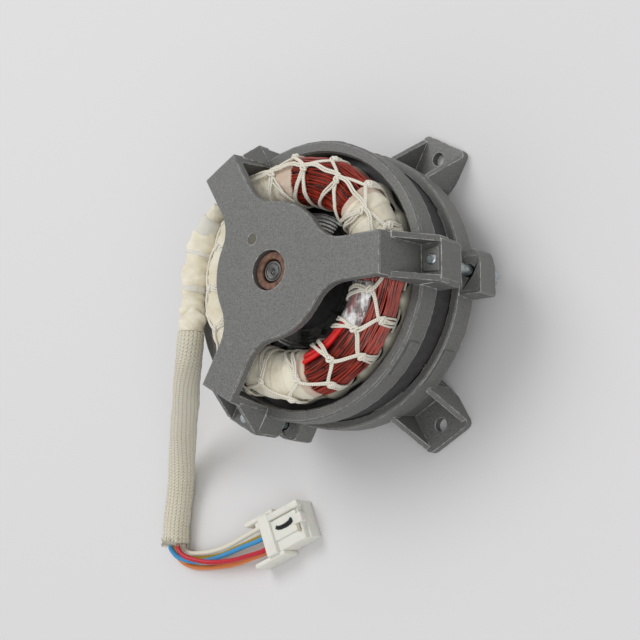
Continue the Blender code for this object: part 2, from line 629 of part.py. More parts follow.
def rotor():
    """Shaft with its flat, laminated core, cast cage with fins and balance pins, thrust washers."""
    front, rear = thrust_faces()
    j, b = JOURNAL_D / 2, SHAFT_BODY_D / 2
    end = FACE_Z - SHAFT_RECESS
    shaft = turned("shaft", [(0.0, -SHAFT_TAIL), (j - 0.6, -SHAFT_TAIL), (j, -SHAFT_TAIL + 0.6), (j, rear),
                             (b, rear), (b, front), (j, front), (j, end - 0.5), (j - 0.5, end),
                             (j - 1.2, end), (j - 1.35, end - 0.25), (j - 1.6, end - 0.25), (j - 1.75, end),
                             (1.4, end), (0.0, end - 1.3)], "shaft_steel", 24)
    flat = side_profile("shaft_flat", [(j - SHAFT_FLAT_DEPTH, -SHAFT_TAIL - 1), (j + 2, -SHAFT_TAIL - 1),
                                       (j + 2, -SHAFT_TAIL + SHAFT_FLAT_LENGTH),
                                       (j - SHAFT_FLAT_DEPTH, -SHAFT_TAIL + SHAFT_FLAT_LENGTH)],
                        -j - 1, j + 1, 0.0, "zinc")
    combine(shaft, [flat], 'DIFFERENCE')
    pitch = 360.0 / BAR_COUNT
    holes = [circle(BAR_R + CLEAR, 6, polar(BAR_CIRCLE_R, pitch * i), pitch * i) for i in range(BAR_COUNT)]
    plate("rotor_core", circle(BORE_R - AIR_GAP, 40), [circle(b + CLEAR, 24)] + holes,
          CORE_REAR, CORE_FRONT, "core_steel")
    ring_r, low, high = BORE_R - AIR_GAP - 1.0, CORE_REAR - CLEAR, CORE_FRONT + CLEAR
    cage = turned("rotor_cage", [(CAGE_RING_IN, high), (ring_r, high), (ring_r - 0.5, high + CAGE_RING_T),
                                 (CAGE_RING_IN + 0.5, high + CAGE_RING_T)], "rotor_aluminium", 30)
    parts = [turned("cage_rear_ring", [(CAGE_RING_IN, low), (ring_r, low), (ring_r - 0.5, low - CAGE_RING_T),
                                       (CAGE_RING_IN + 0.5, low - CAGE_RING_T)], "rotor_aluminium", 30)]
    for i in range(BAR_COUNT):
        parts.append(plate(f"cage_bar_{i}", circle(BAR_R, 6, polar(BAR_CIRCLE_R, pitch * i), pitch * i), (),
                           low - 1.0, high + 1.0, "rotor_aluminium"))
    top = high + CAGE_RING_T
    for i in range(FIN_COUNT):
        turn = 360.0 / FIN_COUNT * i
        parts.append(side_profile(f"cage_fin_{i}", [
            (CAGE_RING_IN + 1.2, top - 1.0), (ring_r - 1.2, top - 1.0), (ring_r - 2.0, top + FIN_HEIGHT),
            (CAGE_RING_IN + 2.2, top + FIN_HEIGHT)], -FIN_T / 2, FIN_T / 2, turn, "rotor_aluminium"))
        if i % 2 == 0:
            centre = polar((CAGE_RING_IN + ring_r) / 2, turn + 180.0 / FIN_COUNT)
            parts.append(plate(f"balance_pin_{i}", circle(PIN_R, 8, centre), (), top - 1.0,
                               top + PIN_HEIGHT, "rotor_aluminium"))
    combine(cage, parts, 'UNION')
    for name, shoulder, sign in (("front_thrust_washer", front, 1), ("rear_thrust_washer", rear, -1)):
        a = shoulder + sign * CLEAR
        b2 = a + sign * THRUST_WASHER_T
        turned(name, [(JOURNAL_D / 2 + CLEAR, a), (THRUST_WASHER_R, a), (THRUST_WASHER_R, b2),
                      (JOURNAL_D / 2 + CLEAR, b2)], "spring_steel", 20)


def slot_half_width(radius):
    """Half the slot's width where the teeth keep an even thickness."""
    return radius * math.sin(math.pi / SLOT_COUNT) - TOOTH_W / 2


def stator_core():
    """Lamination stack with semi-closed slots round the rotor bore."""
    mouth, throat = SLOT_MOUTH / 2, BORE_R + TOOTH_TIP_T
    loop = []
    for i in range(SLOT_COUNT):
        slot = [(BORE_R, -mouth), (throat, -mouth), (SLOT_TOP_R, -slot_half_width(SLOT_TOP_R)),
                (SLOT_FLOOR_R, -slot_half_width(SLOT_FLOOR_R)), (SLOT_FLOOR_R, slot_half_width(SLOT_FLOOR_R)),
                (SLOT_TOP_R, slot_half_width(SLOT_TOP_R)), (throat, mouth), (BORE_R, mouth)]
        loop += turned_about_z(slot, 360.0 / SLOT_COUNT * (i + 0.5))
    plate("stator_core", circle(CORE_R, RING_SIDES), [loop], CORE_REAR, CORE_FRONT, "core_steel")


def stator_winding():
    """Front and rear winding heads joined by a coil side through each slot."""
    winding = closed_ring("stator_winding", COIL_STATIONS, COIL_SIDES,
                          lambda a, r: coil_point(a, r, FRONT_COIL_Z, FRONT_COIL_HALF_H, front_swell(a, r)),
                          "enamelled_wire")
    parts = [closed_ring("rear_head", COIL_STATIONS // 2, COIL_SIDES // 2,
                         lambda a, r: coil_point(a, r, REAR_COIL_Z, REAR_COIL_HALF_H, 0.0), "enamelled_wire")]
    low, high = SLOT_TOP_R + SLOT_GAP + 0.6, SLOT_FLOOR_R - SLOT_GAP
    for i in range(SLOT_COUNT):
        side = [(low, -slot_half_width(low) + SLOT_GAP), (high, -slot_half_width(high) + SLOT_GAP),
                (high, slot_half_width(high) - SLOT_GAP), (low, slot_half_width(low) - SLOT_GAP)]
        parts.append(plate(f"coil_side_{i}", turned_about_z(side, 360.0 / SLOT_COUNT * (i + 0.5)), (),
                           REAR_COIL_Z, FRONT_COIL_Z - 4.0, "enamelled_wire"))
    combine(winding, parts, 'UNION')


def winding_dress():
    """Tape, clear film, the two bright leads, lacing and insulation collars of the winding."""
    step = 360.0 / COIL_SIDES
    for k, span in enumerate(TAPE_SPANS):
        wrap(f"winding_tape_{k + 1}", span, (-step, 9 * step), FRONT_COIL_Z, FRONT_COIL_HALF_H,
             CLEAR, TAPE_T, "cloth_tape")
    film_inner = LEAD_BED + CLEAR + LEAD_D + CLEAR
    wrap("winding_film", FILM_SPAN, (-step, 9 * step), FRONT_COIL_Z, FRONT_COIL_HALF_H,
         film_inner, FILM_T, "clear_film")
    for k, roll in enumerate(LEAD_ROLLS):
        count = 12
        path = [coil_point(LEAD_SPAN[0] + (LEAD_SPAN[1] - LEAD_SPAN[0]) * i / count, roll, FRONT_COIL_Z,
                           FRONT_COIL_HALF_H, LEAD_BED + CLEAR + LEAD_D / 2) for i in range(count + 1)]
        wire(f"winding_lead_{k + 1}", path, LEAD_D, "red_lead")
    floor = CORE_FRONT + CLEAR + LACING_D / 2
    wire("front_lacing", lacing_path(FRONT_COIL_Z, FRONT_COIL_HALF_H, front_lacing_offset, LACING_LOOPS,
                                     14, 1, floor), LACING_D, "lacing_cord", 0, True)
    ceiling = CORE_REAR - CLEAR - LACING_D / 2
    rear_offset = 2 * CLEAR + LACING_D / 2
    wire("rear_lacing", lacing_path(REAR_COIL_Z, REAR_COIL_HALF_H, lambda angle: rear_offset,
                                    REAR_LACING_LOOPS, 12, -1, ceiling), LACING_D, "lacing_cord", 0, True)
    lobes = SLOT_COUNT
    inner, shallow, deep = COLLAR_R
    outline = []
    for i in range(lobes * 4):
        swing = abs(math.sin(math.pi * i / 4))
        outline.append(polar(shallow + (deep - shallow) * swing, 90.0 / lobes * i))
    plate("insulation_collar", outline, [circle(inner, 48)], CORE_FRONT + CLEAR, COLLAR_TOP, "paper")


def taped_joint():
    """Taped bundle of lead joints on the winding's outer shoulder, where the harness starts."""
    path = smooth_route(JOINT_ROUTE, 5.0)
    sides = 12
    bm = bmesh.new()
    rings = []
    for i, point in enumerate(path):
        ahead = (path[min(i + 1, len(path) - 1)] - path[max(i - 1, 0)]).normalized()
        across = Vector((ahead.y, -ahead.x, 0)).normalized()
        taper = 0.62 + 0.38 * min(i, 3) / 3.0
        ring = []
        for j in range(sides):
            roll = math.tau * j / sides
            ring.append(bm.verts.new(point + across * JOINT_HALF[0] * taper * math.cos(roll)
                                     + Vector((0, 0, JOINT_HALF[1] * taper * math.sin(roll)))))
        rings.append(ring)
    for a, b in zip(rings, rings[1:]):
        for j in range(sides):
            bm.faces.new((a[j - 1], a[j], b[j], b[j - 1]))
    bm.faces.new(rings[0])
    bm.faces.new(rings[-1])
    finish_object("taped_lead_joint", bm, "cloth_tape")


def connector_point(u, v, w):
    """Point in the connector's own frame: u along it, v across it, w up from the ground."""
    x, y = turned_about_z([(u, v)], CONNECTOR_TURN)[0]
    return Vector((CONNECTOR_CENTRE[0] + x, CONNECTOR_CENTRE[1] + y, w))


def connector_block(name, u, v, w, material_name="nylon"):
    """A block in the connector's own frame, given as pairs of limits."""
    corners = [connector_point(a, b, 0) for a, b in ((u[0], v[0]), (u[1], v[0]), (u[1], v[1]), (u[0], v[1]))]
    return plate(name, [(c.x, c.y) for c in corners], (), w[0], w[1], material_name)


def connector():
    """Nylon housing with side wings, a collar, a latch arm and five terminal cavities."""
    back, front, half, height = CONNECTOR_BACK, CONNECTOR_FRONT, CONNECTOR_HALF_W, CONNECTOR_H
    body = connector_block("connector_housing", (back, front), (-half, half), (0.0, height - 2.6))
    parts = [connector_block("collar", (back, back + 6.5), (-half - 0.6, half + 0.6), (0.0, height)),
             connector_block("latch_bed", (back + 4.0, front - 1.6), (-2.4, half - 0.6), (2.0, height - 1.4)),
             connector_block("latch_arm", (back + 4.0, front + 0.8), (half - 3.4, half), (height - 3.4, height)),
             connector_block("wing_floor", (WING_BACK + 2.0, back + 1.0), (-half, half), (0.0, 1.6))]
    for side in (-1, 1):
        v = sorted((side * half, side * (half + WING_T)))
        parts.append(connector_block(f"wing_{side}", (WING_BACK, back + 9.0), v, (0.0, WING_H)))
    cuts = []
    for colour, (v, w, _) in LEADS.items():
        c, t = CAVITY_HALF, TERMINAL_HALF
        cuts.append(connector_block(f"cavity_{colour}", (back - 1.0, front - 1.6), (v - c, v + c), (w - c, w + c)))
        connector_block(f"terminal_{colour}", (back + 4.0, front - 2.2), (v - t, v + t), (w - t, w + t),
                        "terminal_tin")
    combine(body, parts, 'UNION')
    combine(body, cuts, 'DIFFERENCE')


def harness():
    """Braided sleeve with five leads that run on from it to the connector."""
    wire("braided_sleeve", smooth_route(SLEEVE_ROUTE, 5.0), SLEEVE_D, "glass_sleeve")
    for colour, (v, w, route) in LEADS.items():
        entry = [connector_point(CONNECTOR_BACK - 6.0, v, w), connector_point(CONNECTOR_BACK - 1.0, v, w),
                 connector_point(CONNECTOR_BACK + 3.7, v, w)]
        wire(f"lead_{colour}", smooth_route(list(route) + entry, 5.5), WIRE_D, f"{colour}_wire")


def build():
    for obj in list(bpy.data.objects):
        bpy.data.objects.remove(obj, do_unlink=True)
    front_bracket()
    rear_bracket()
    through_bolts()
    bearings()
    rotor()
    stator_core()
    stator_winding()
    winding_dress()
    taped_joint()
    connector()
    harness()


build()
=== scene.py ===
"""Finish of an open-frame fan motor: castings, laced winding, taped harness and connector.

The packed solids are the frame. Every new piece is a surface worked out with numpy in
millimetres and put into its mesh in metres, and every finish is a procedural material.
"""

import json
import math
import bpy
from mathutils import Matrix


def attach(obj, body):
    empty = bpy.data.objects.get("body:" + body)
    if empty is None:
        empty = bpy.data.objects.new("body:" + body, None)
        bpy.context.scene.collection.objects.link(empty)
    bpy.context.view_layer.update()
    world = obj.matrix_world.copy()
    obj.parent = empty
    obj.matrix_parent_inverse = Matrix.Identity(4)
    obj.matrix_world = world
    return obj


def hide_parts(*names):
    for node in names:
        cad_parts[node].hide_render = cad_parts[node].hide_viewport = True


bl_info = {
    "name": "Fan motor finish",
    "version": (1, 0, 0),
    "blender": (4, 5, 0),
    "location": "3D View > Sidebar > Motor",
    "description": "Dresses an open-frame fan motor with its castings, laced winding and harness",
    "category": "Object",
}

import bmesh
import bpy
import numpy as np
from bpy.props import FloatProperty, FloatVectorProperty, IntProperty, PointerProperty
from mathutils import Matrix, Vector

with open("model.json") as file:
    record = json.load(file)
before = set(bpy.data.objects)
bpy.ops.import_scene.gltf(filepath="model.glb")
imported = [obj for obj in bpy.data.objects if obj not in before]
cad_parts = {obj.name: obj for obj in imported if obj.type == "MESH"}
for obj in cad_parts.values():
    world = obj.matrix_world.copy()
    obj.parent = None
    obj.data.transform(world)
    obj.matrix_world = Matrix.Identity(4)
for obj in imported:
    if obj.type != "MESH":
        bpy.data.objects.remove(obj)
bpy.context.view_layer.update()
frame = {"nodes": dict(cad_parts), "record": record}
MM = 0.001
UP = np.array([0.0, 0.0, 1.0])

# Winding head: a superellipse carried round the shaft axis
COIL_R, COIL_HALF_W = 44.5, 9
COIL_Z, COIL_HALF_H = 62.3, 8.2
REAR_COIL_Z, REAR_HALF_H = 17.4, 6.4
SQUARENESS = 2.4
CORE_FRONT, CORE_REAR = 51, 27
SHEET = 0.5 * MM
CLEAR = 0.35

# The gate's stain on the front face, and its radius
GATE, GATE_RADIUS = (-9.91 * MM, 15.26 * MM, 83.8 * MM), 2.5 * MM

# Small pads at each arm: angles from the arm, radii and heights, and the radius of their edges
PADS = (("front_pads", (-47, -31, 62, 65, 48.2, 55), 0.5),
        ("rear_pads", (-47, -31, 62, 65.6, 21.5, 29), 0.5),
        ("bolt_pads", (-4.4, 4.4, 64.2, 72.8, 57, 58.8), 0.4))
COLLAR_R, COLLAR_Z, COLLAR_LOBES, COLLAR_START = 52.6, 49.6, 9, 16.2

# Spans round the motor in degrees, measured on the photograph
TAPE_SPANS = ((87, 121), (7, 41), (240, 283))
COVER_SPAN = (126, 219)
FILM_SPAN = (323, 349)
PRESSED_SPAN = (132, 216)
LEAD_BED_SPAN = (283, 348)

# The two bright leads: rolls at the angles of LEAD_MARKS, and how far each one is lifted
LEAD_MARKS = (282, 300, 312, 332, 343)
WINDING_LEADS = (((128, 130, 132, 144, 150), 0), ((108, 111, 116, 110, 108), 0.1))

# Where one layer of tape lets the copper glow through: (angle, half width) in degrees
THIN_TAPE = ((93, 6), (38.5, 3.2), (-78.5, 3.4))

# Lacing: (junction on the crown, the two angles inside, the two angles outside)
LACING_STATIONS = (
    (345, 340.5, 336.5, 332.5, 356), (323, 318, 312.5, 313.7, 332.5),
    (302, 294.5, 290.5, 293.5, 313.7), (278.5, 270.5, 265, 270, 293.5),
    (254, 250, 246, 243, 270), (229, 226.5, 222, 218, 243),
    (204, 202, 198, 192, 218), (180, 182, 177, 168, 192),
    (156, 158, 153, 144, 168), (132, 134, 129, 116, 144),
    (100, 106.5, 89, 89, 116), (77.7, 85, 74, 65, 89),
    (53.1, 62, 38.5, 40, 65), (28, 36, 32, 16, 40),
    (6, 8, 3, -4, 16))
RUNNER_STATIONS = (9, 10, 11, 12, 13)
JUNCTION_ROLL, KNOT_ROLL = 76, 22

# Harness routes, the same points as the solids follow
JOINT_ROUTE = ((-44.8, 39.6, 66), (-54.2, 26, 66), (-59.2, 11.4, 66), (-60.8, -2, 66),
               (-61.2, -10, 66), (-61.8, -18, 66))
JOINT_HALF_H = 5.4
JOINT_HALF_W = ((0, 12, 24, 32, 42, 52, 60), (4.4, 5.2, 7.2, 6.8, 5.4, 6.4, 6.2))
BAND_MIDDLES, BAND_WIDTHS = ((11,), (24.5,), (42,)), ((8.5,), (2.2,), (3.4,))
SLEEVE_ROUTE = ((-61.9, -18.9, 66), (-62.2, -22.4, 65.95), (-65, -28.2, 63.6),
                (-71, -34, 58.2), (-79.6, -39.4, 49.4), (-89.2, -45, 39.4), (-98.4, -51, 30.2),
                (-106.6, -57.6, 22.2), (-113.2, -65.2, 15.4), (-118, -74, 10.4), (-121.4, -84, 7.6),
                (-123.4, -94.4, 6.6), (-124.5, -103, 6.6), (-124.9, -111.4, 6.6))
LEAD_ROUTES = {
    "cream": (6.4, 9.2, ((-121.4, -112.2, 4.6), (-121, -114.6, 4.5), (-117.2, -116.6, 4.4),
                         (-111, -117, 4.6), (-101.5, -116.4, 5.2), (-90, -114.2, 6.6),
                         (-80, -111, 8.2))),
    "yellow": (3.8, 4.6, ((-124.8, -112.2, 6), (-124.4, -114.8, 5.2), (-121.2, -118, 2.8),
                          (-115.5, -119.2, 1.6), (-107.5, -119, 1.5), (-97, -117.6, 1.9),
                          (-86, -114.6, 3.2))),
    "blue": (1, 9.2, ((-125.8, -112.2, 9.6), (-125.2, -115, 9.2), (-121.6, -119, 7.4),
                      (-113.4, -121, 5.2), (-101.9, -120.2, 4.8), (-88.6, -117.4, 6.4),
                      (-78, -114.9, 8.4))),
    "red": (-4.6, 9.2, ((-121.2, -112.2, 9), (-120.4, -114.8, 9.3), (-116.4, -118.2, 9.4),
                        (-109.6, -120.4, 8.6), (-99.4, -121.8, 7.6), (-86.4, -121.2, 7.4),
                        (-76, -119.6, 8.6))),
    "orange": (-4.6, 4.6, ((-128.2, -112.2, 4.6), (-127.8, -115.2, 4), (-124.2, -120.6, 2.2),
                           (-116, -123.6, 1.5), (-104.5, -124, 1.5), (-90, -123, 2.2),
                           (-79.5, -121.2, 3.8))),
}
CONNECTOR_CENTRE, CONNECTOR_TURN = (-49.2, -106.3), 21
CONNECTOR_BACK, CONNECTOR_FRONT = -14, 11
FRAY_COUNT, FRAY_RADIUS, FRAY_REACH = 70, 0.17 * MM, 6.6 * MM


# Sizes and colours

def length(name, description, default, low, high):
    """A length property whose default and limits are given in millimetres."""
    return FloatProperty(name=name, description=description, default=default * MM, min=low * MM,
                         max=high * MM, unit='LENGTH')


def tint(name, description, default):
    """A colour property."""
    return FloatVectorProperty(name=name, description=description, subtype='COLOR', size=3, default=default,
                               min=0, max=1)


class MotorSizes(bpy.types.PropertyGroup):
    """Sizes that a user of the motor would change."""
    wire_gauge: length("Wire gauge", "Diameter of one enamelled wire", 0.66, 0.3, 2)
    wire_count: IntProperty(name="Wires", description="Wires that show round the winding's section",
                            default=88, min=20, max=120)
    wire_wander: length("Wire wander", "How far a wire strays from its place", 0.55, 0.0, 3)
    lacing_gauge: length("Lacing gauge", "Diameter of one strand of lacing cord", 1.02, 0.4, 2)
    tape_width: length("Tape step", "How far one turn of tape shows past the next", 7.0, 2, 20)
    winding_lead_gauge: length("Winding lead gauge", "Diameter of a lead on the winding", 2.5, 1, 4)
    sleeve_gauge: length("Sleeve gauge", "Diameter of the braided sleeve", 12.6, 6, 20)
    lead_gauge: length("Lead gauge", "Diameter of one insulated lead", 2.4, 1, 4)
    edge_radius: length("Casting edge", "Radius that the castings' edges seem to have", 0.38, 0.1, 3)


class MotorColours(bpy.types.PropertyGroup):
    """Colours that a user of the motor would change."""
    casting: tint("Casting", "Sand-textured aluminium", (0.170, 0.170, 0.163))
    core: tint("Core", "Oxide on the laminations", (0.055, 0.055, 0.055))
    enamel: tint("Enamel", "Enamel of the winding's wire", (0.25, 0.021, 0.008))
    tape: tint("Cloth tape", "Tape on the winding and the joints", (0.95, 0.90, 0.735))
    cord: tint("Lacing cord", "Cord that ties the winding", (0.93, 0.89, 0.77))
    sleeve: tint("Sleeve", "Braided glass fibre", (0.82, 0.77, 0.62))
    winding_lead: tint("Winding lead", "Bright leads on the winding", (0.78, 0.008, 0.006))
    nylon: tint("Connector", "Nylon of the connector", (0.80, 0.79, 0.72))
    ground: tint("Ground", "Colour of the ground", (0.74, 0.735, 0.74))


LEAD_COLOURS = {"cream": (0.80, 0.76, 0.63), "yellow": (0.85, 0.60, 0.08), "blue": (0.045, 0.31, 0.62),
                "red": (0.55, 0.010, 0.03), "orange": (0.80, 0.24, 0.06)}


# Meshes from arrays

def skin(name, grids, material, closed_along=False, closed_around=True, thickness=0.0):
    """Mesh over grids of points in metres.

    grids[k, i, j] is point i along and j around strip k. Neighbouring points make quads; an
    open tube gets one many-sided cap at each end. UV is (metres along * 100, share around), and
    the attribute "strip" holds a number from 0 to 1 that differs from strip to strip.
    """
    grids = np.asarray(grids, dtype=float)
    grids = grids[None] if grids.ndim == 3 else grids
    k, n, m, _ = grids.shape
    rows, cols = (n if closed_along else n - 1), (m if closed_around else m - 1)
    i, j = (a.ravel() for a in np.meshgrid(np.arange(rows), np.arange(cols), indexing="ij"))
    i2, j2 = (i + 1) % n, (j + 1) % m
    quads = np.stack([i * m + j, i * m + j2, i2 * m + j2, i2 * m + j], -1)
    quads = (quads[None] + (np.arange(k) * n * m)[:, None, None]).reshape(-1, 4)
    points = grids.reshape(-1, 3)
    corners = points[quads]
    middle = points.mean(0)
    volume = np.einsum("ij,ij->i", corners[:, 0] - middle,
                       np.cross(corners[:, 1] - middle, corners[:, 2] - middle)).sum()
    flip = closed_around and volume < 0
    order = [0, 3, 2, 1] if flip else [0, 1, 2, 3]
    faces = quads[:, order].tolist()
    capped = closed_around and not closed_along
    if capped:
        ring = np.arange(m)
        for strip in range(k):
            first, last = strip * n * m + ring, strip * n * m + (n - 1) * m + ring
            faces += [(first if flip else first[::-1]).tolist(), (last[::-1] if flip else last).tolist()]
    mesh = bpy.data.meshes.new(name)
    mesh.from_pydata(points.tolist(), [], faces)
    step = np.linalg.norm(np.diff(grids[:, :, 0], axis=1, append=grids[:, :1, 0]), axis=-1)
    along = np.concatenate([np.zeros((k, 1)), np.cumsum(step, axis=1)], axis=1) * 100
    u = np.stack([along[:, i], along[:, i], along[:, i + 1], along[:, i + 1]], -1)
    v = np.stack([j, j + 1, j + 1, j], -1) / m
    uv = np.stack([u, np.broadcast_to(v, u.shape)], -1).reshape(-1, 4, 2)[:, order].reshape(-1, 2)
    if capped:
        uv = np.concatenate([uv, np.zeros((2 * k * m, 2))])
    mesh.uv_layers.new(name="Along").data.foreach_set("uv", uv.ravel())
    shade = (np.arange(k) * 0.618034) % 1.0
    mesh.attributes.new("strip", 'FLOAT', 'POINT').data.foreach_set("value", np.repeat(shade, n * m))
    mesh.shade_smooth()
    mesh.set_sharp_from_angle(angle=math.radians(60))
    mesh.materials.append(material)
    piece = bpy.data.objects.new(name, mesh)
    bpy.context.scene.collection.objects.link(piece)
    if thickness:
        wall = piece.modifiers.new("Wall", 'SOLIDIFY')
        wall.thickness, wall.offset = thickness, 1.0
    return piece


def circle(count, full=2 * np.pi):
    """Even steps of one full turn, in radians, or in degrees when full is 360."""
    return np.linspace(0, full, count, endpoint=False)


def round_axis(path):
    """Direction round the shaft's axis at each point."""
    return np.stack([-path[..., 1], path[..., 0], 0 * path[..., 0]], -1)


def oval(roll, a, b):
    """Reach at each roll: the root of (a * cos) squared plus (b * sin) squared."""
    return np.sqrt((a * np.cos(roll)) ** 2 + (b * np.sin(roll)) ** 2)


def signed_power(value, power):
    return np.sign(value) * np.abs(value) ** power


def tube(path, radius, sides, facing=UP, closed=False):
    """Rings of points round paths: point + radius * (cos * across + sin * binormal).

    path is (..., n, 3), facing is one direction or (..., n, 3), which the ring's first point leans
    to, and radius is a number, (..., n, 1) or (..., n, sides). The tangent is the gradient, or on
    a closed path the difference of each point's two neighbours.
    """
    ahead = np.roll(path, -1, axis=-2) - np.roll(path, 1, axis=-2) if closed else np.gradient(path, axis=-2)
    ahead /= np.linalg.norm(ahead, axis=-1, keepdims=True)
    across = facing - (facing * ahead).sum(-1, keepdims=True) * ahead
    across /= np.linalg.norm(across, axis=-1, keepdims=True)
    binormal = np.cross(ahead, across)
    roll = circle(sides)
    ring = across[..., None, :] * np.cos(roll)[:, None] + binormal[..., None, :] * np.sin(roll)[:, None]
    reach = np.asarray(radius, dtype=float)
    reach = reach[..., None] if reach.ndim else reach
    return path[..., None, :] + ring * reach


def route(points, spacing):
    """Evenly spaced points in metres on a Catmull-Rom curve through points in millimetres."""
    p = np.asarray(points, dtype=float) * MM
    p = np.vstack([2 * p[0] - p[1], p, 2 * p[-1] - p[-2]])
    a, b, c, d = p[:-3, None], p[1:-2, None], p[2:-1, None], p[3:, None]
    t = np.linspace(0, 1, 24, endpoint=False)[None, :, None]
    curve = 0.5 * (2 * b + (c - a) * t + (2 * a - 5 * b + 4 * c - d) * t ** 2
                   + (3 * b - a - 3 * c + d) * t ** 3)
    curve = np.vstack([curve.reshape(-1, 3), p[-2]])
    reach = np.concatenate([[0], np.cumsum(np.linalg.norm(np.diff(curve, axis=0), axis=1))])
    wanted = np.linspace(0, reach[-1], max(4, round(reach[-1] / spacing)) + 1)
    return np.stack([np.interp(wanted, reach, curve[:, axis]) for axis in range(3)], -1)


def length_of(path):
    return float(np.linalg.norm(np.diff(path, axis=0), axis=1).sum())


def coil_surface(angle, roll, swell, coil_z=COIL_Z, half_h=COIL_HALF_H):
    """Point on the winding's section, in metres: roll 0 is outward, 90 is up.

    The section is |x|^p + |y|^p = 1 with p = 2.4, grown by swell, at the angle round the shaft.
    """
    angle, roll, swell = np.broadcast_arrays(np.radians(angle), np.radians(roll), swell)
    c, s = np.cos(roll), np.sin(roll)
    power = 2.0 / SQUARENESS
    radius = COIL_R + signed_power(c, power) * (COIL_HALF_W + swell)
    height = coil_z + signed_power(s, power) * (half_h + swell)
    return np.stack([radius * np.cos(angle), radius * np.sin(angle), height], -1) * MM


def even_rolls(share, swell=1.2):
    """Rolls that lie at even shares of the way round the section, from its outer side up and over."""
    roll = np.linspace(0, 360, 721)
    points = coil_surface(0.0, roll, swell)
    reach = np.concatenate([[0], np.cumsum(np.linalg.norm(np.diff(points, axis=0), axis=1))])
    return np.interp((share % 1.0) * reach[-1], reach, roll) + 360 * np.floor(share)


def smooth_step(x, low, high):
    t = np.clip((x - low) / (high - low), 0, 1)
    return t * t * (3 - 2 * t)


def in_span(angle, span, ramp):
    """1 inside a span of angles and 0 outside, with ramps of that many degrees at its ends."""
    centre, half = (span[0] + span[1]) / 2, (span[1] - span[0]) / 2
    away = np.abs((angle - centre + 180) % 360 - 180)
    return 1 - smooth_step(away, half - ramp / 2, half + ramp / 2)


def ripple(rng, angle, rows, low, high):
    """Periodic noise round the motor: a sum of sines of whole frequencies, one row for each strip."""
    waves = np.arange(low, high + 1)
    phase = rng.uniform(0, 2 * np.pi, (rows, 1, waves.size))
    size = rng.normal(0, 1, (rows, 1, waves.size)) / np.sqrt(waves.size)
    return (size * np.sin(np.radians(angle)[None, :, None] * waves + phase)).sum(-1)


def smooth_copy(node, material):
    """A merged copy of a packed solid with smooth curved faces, in place of its loose triangles."""
    source = frame["nodes"][node]
    mesh = source.data.copy()
    mesh.transform(source.matrix_world)
    bm = bmesh.new()
    bm.from_mesh(mesh)
    bmesh.ops.remove_doubles(bm, verts=bm.verts, dist=2e-6)
    bm.to_mesh(mesh)
    bm.free()
    mesh.name = f"{node}_finish"
    packed_normals = mesh.attributes.get("custom_normal")
    if packed_normals:
        mesh.attributes.remove(packed_normals)
    mesh.materials.clear()
    mesh.materials.append(material)
    mesh.shade_smooth()
    mesh.set_sharp_from_angle(angle=math.radians(32))
    piece = bpy.data.objects.new(mesh.name, mesh)
    bpy.context.scene.collection.objects.link(piece)
    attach(piece, body_of(node))
    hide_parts(node)
    return piece


def reshape(piece, period, phase, change):
    """Move a copy's points in the frame of the nearest arm: change(x outward, y, z), all in mm."""
    points = np.empty(len(piece.data.vertices) * 3)
    piece.data.vertices.foreach_get("co", points)
    points = points.reshape(-1, 3) / MM
    turn = np.arctan2(points[:, 1], points[:, 0])
    arm = np.radians(np.round((np.degrees(turn) - phase) / period) * period + phase)
    reach = np.hypot(points[:, 0], points[:, 1])
    x, y, z = change(reach * np.cos(turn - arm), reach * np.sin(turn - arm), points[:, 2])
    moved = np.stack([x * np.cos(arm) - y * np.sin(arm), x * np.sin(arm) + y * np.cos(arm), z], -1)
    piece.data.vertices.foreach_set("co", (moved * MM).ravel())
    piece.data.update()
    return piece


# Heights that the rear bracket's copy changes: the ring's lower and upper face, and the real upper face
RING_LOW, RING_TOP, REAL_TOP = 18.0, 36.5, 31.0
LUG_ROOT_X, LUG_SIDE_Y, RING_OUTER_R = 62.2, 15.5, 65.3


def rear_lugs(x, y, z):
    """Ring and lugs to their real height, and each lug to an even block whose top is closed.

    Where a lug meets the ring its points slide along the ring's circle.
    """
    lug = (x > LUG_ROOT_X) & (np.abs(y) < LUG_SIDE_Y) & (z > RING_LOW - 1)
    reach = np.hypot(x, y)
    high = np.where(lug, np.interp(z, (RING_LOW, 25.9, 32.0, RING_TOP), (RING_LOW, 30.1, 30.3, REAL_TOP)),
                    np.interp(z, (-9.0, 23.0, RING_TOP), (-9.0, 23.0, REAL_TOP)))
    on_ring = lug & (reach < RING_OUTER_R)
    high = np.where(on_ring & (y > 9.0) & (z > 30.0), 29.0, high)
    out = np.where(lug, np.interp(x, (0.0, 72.6, 79.0), (0.0, 72.6, 75.2)), x)
    side = np.where(lug, np.interp(y, (-14.5, -5.0), (-10.4, -5.0)) + np.maximum(y + 5.0, 0.0), y)
    out = np.where(on_ring, np.sqrt(np.maximum(reach ** 2 - side ** 2, 0.0)), out)
    return out, side, high


def rear_feet(x, y, z):
    """Low toes for the ribs beside each foot."""
    return x, y, np.where((x > 76.0) & (np.abs(y) > 9.0) & (z > 5.0), 4.5, z)


def core_faces(x, y, z):
    """Stack's real length between the brackets."""
    return x, y, np.interp(z, (27.0, 30.0, 48.0, 51.0), (31.5, 32.5, 45.5, 46.5))


def body_of(node):
    return next(body for body, nodes in frame["record"]["behaviour"]["bodies"].items() if node in nodes)


def slot_of(node):
    return next(part["material_slot"] for part in frame["record"]["subparts"] if part["node"] == node)


def dress(piece, slot, *nodes, body="stator"):
    """Let a finished piece ride on its body and stand for the solids it covers."""
    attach(piece, body)
    if nodes:
        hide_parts(*nodes)
    return piece


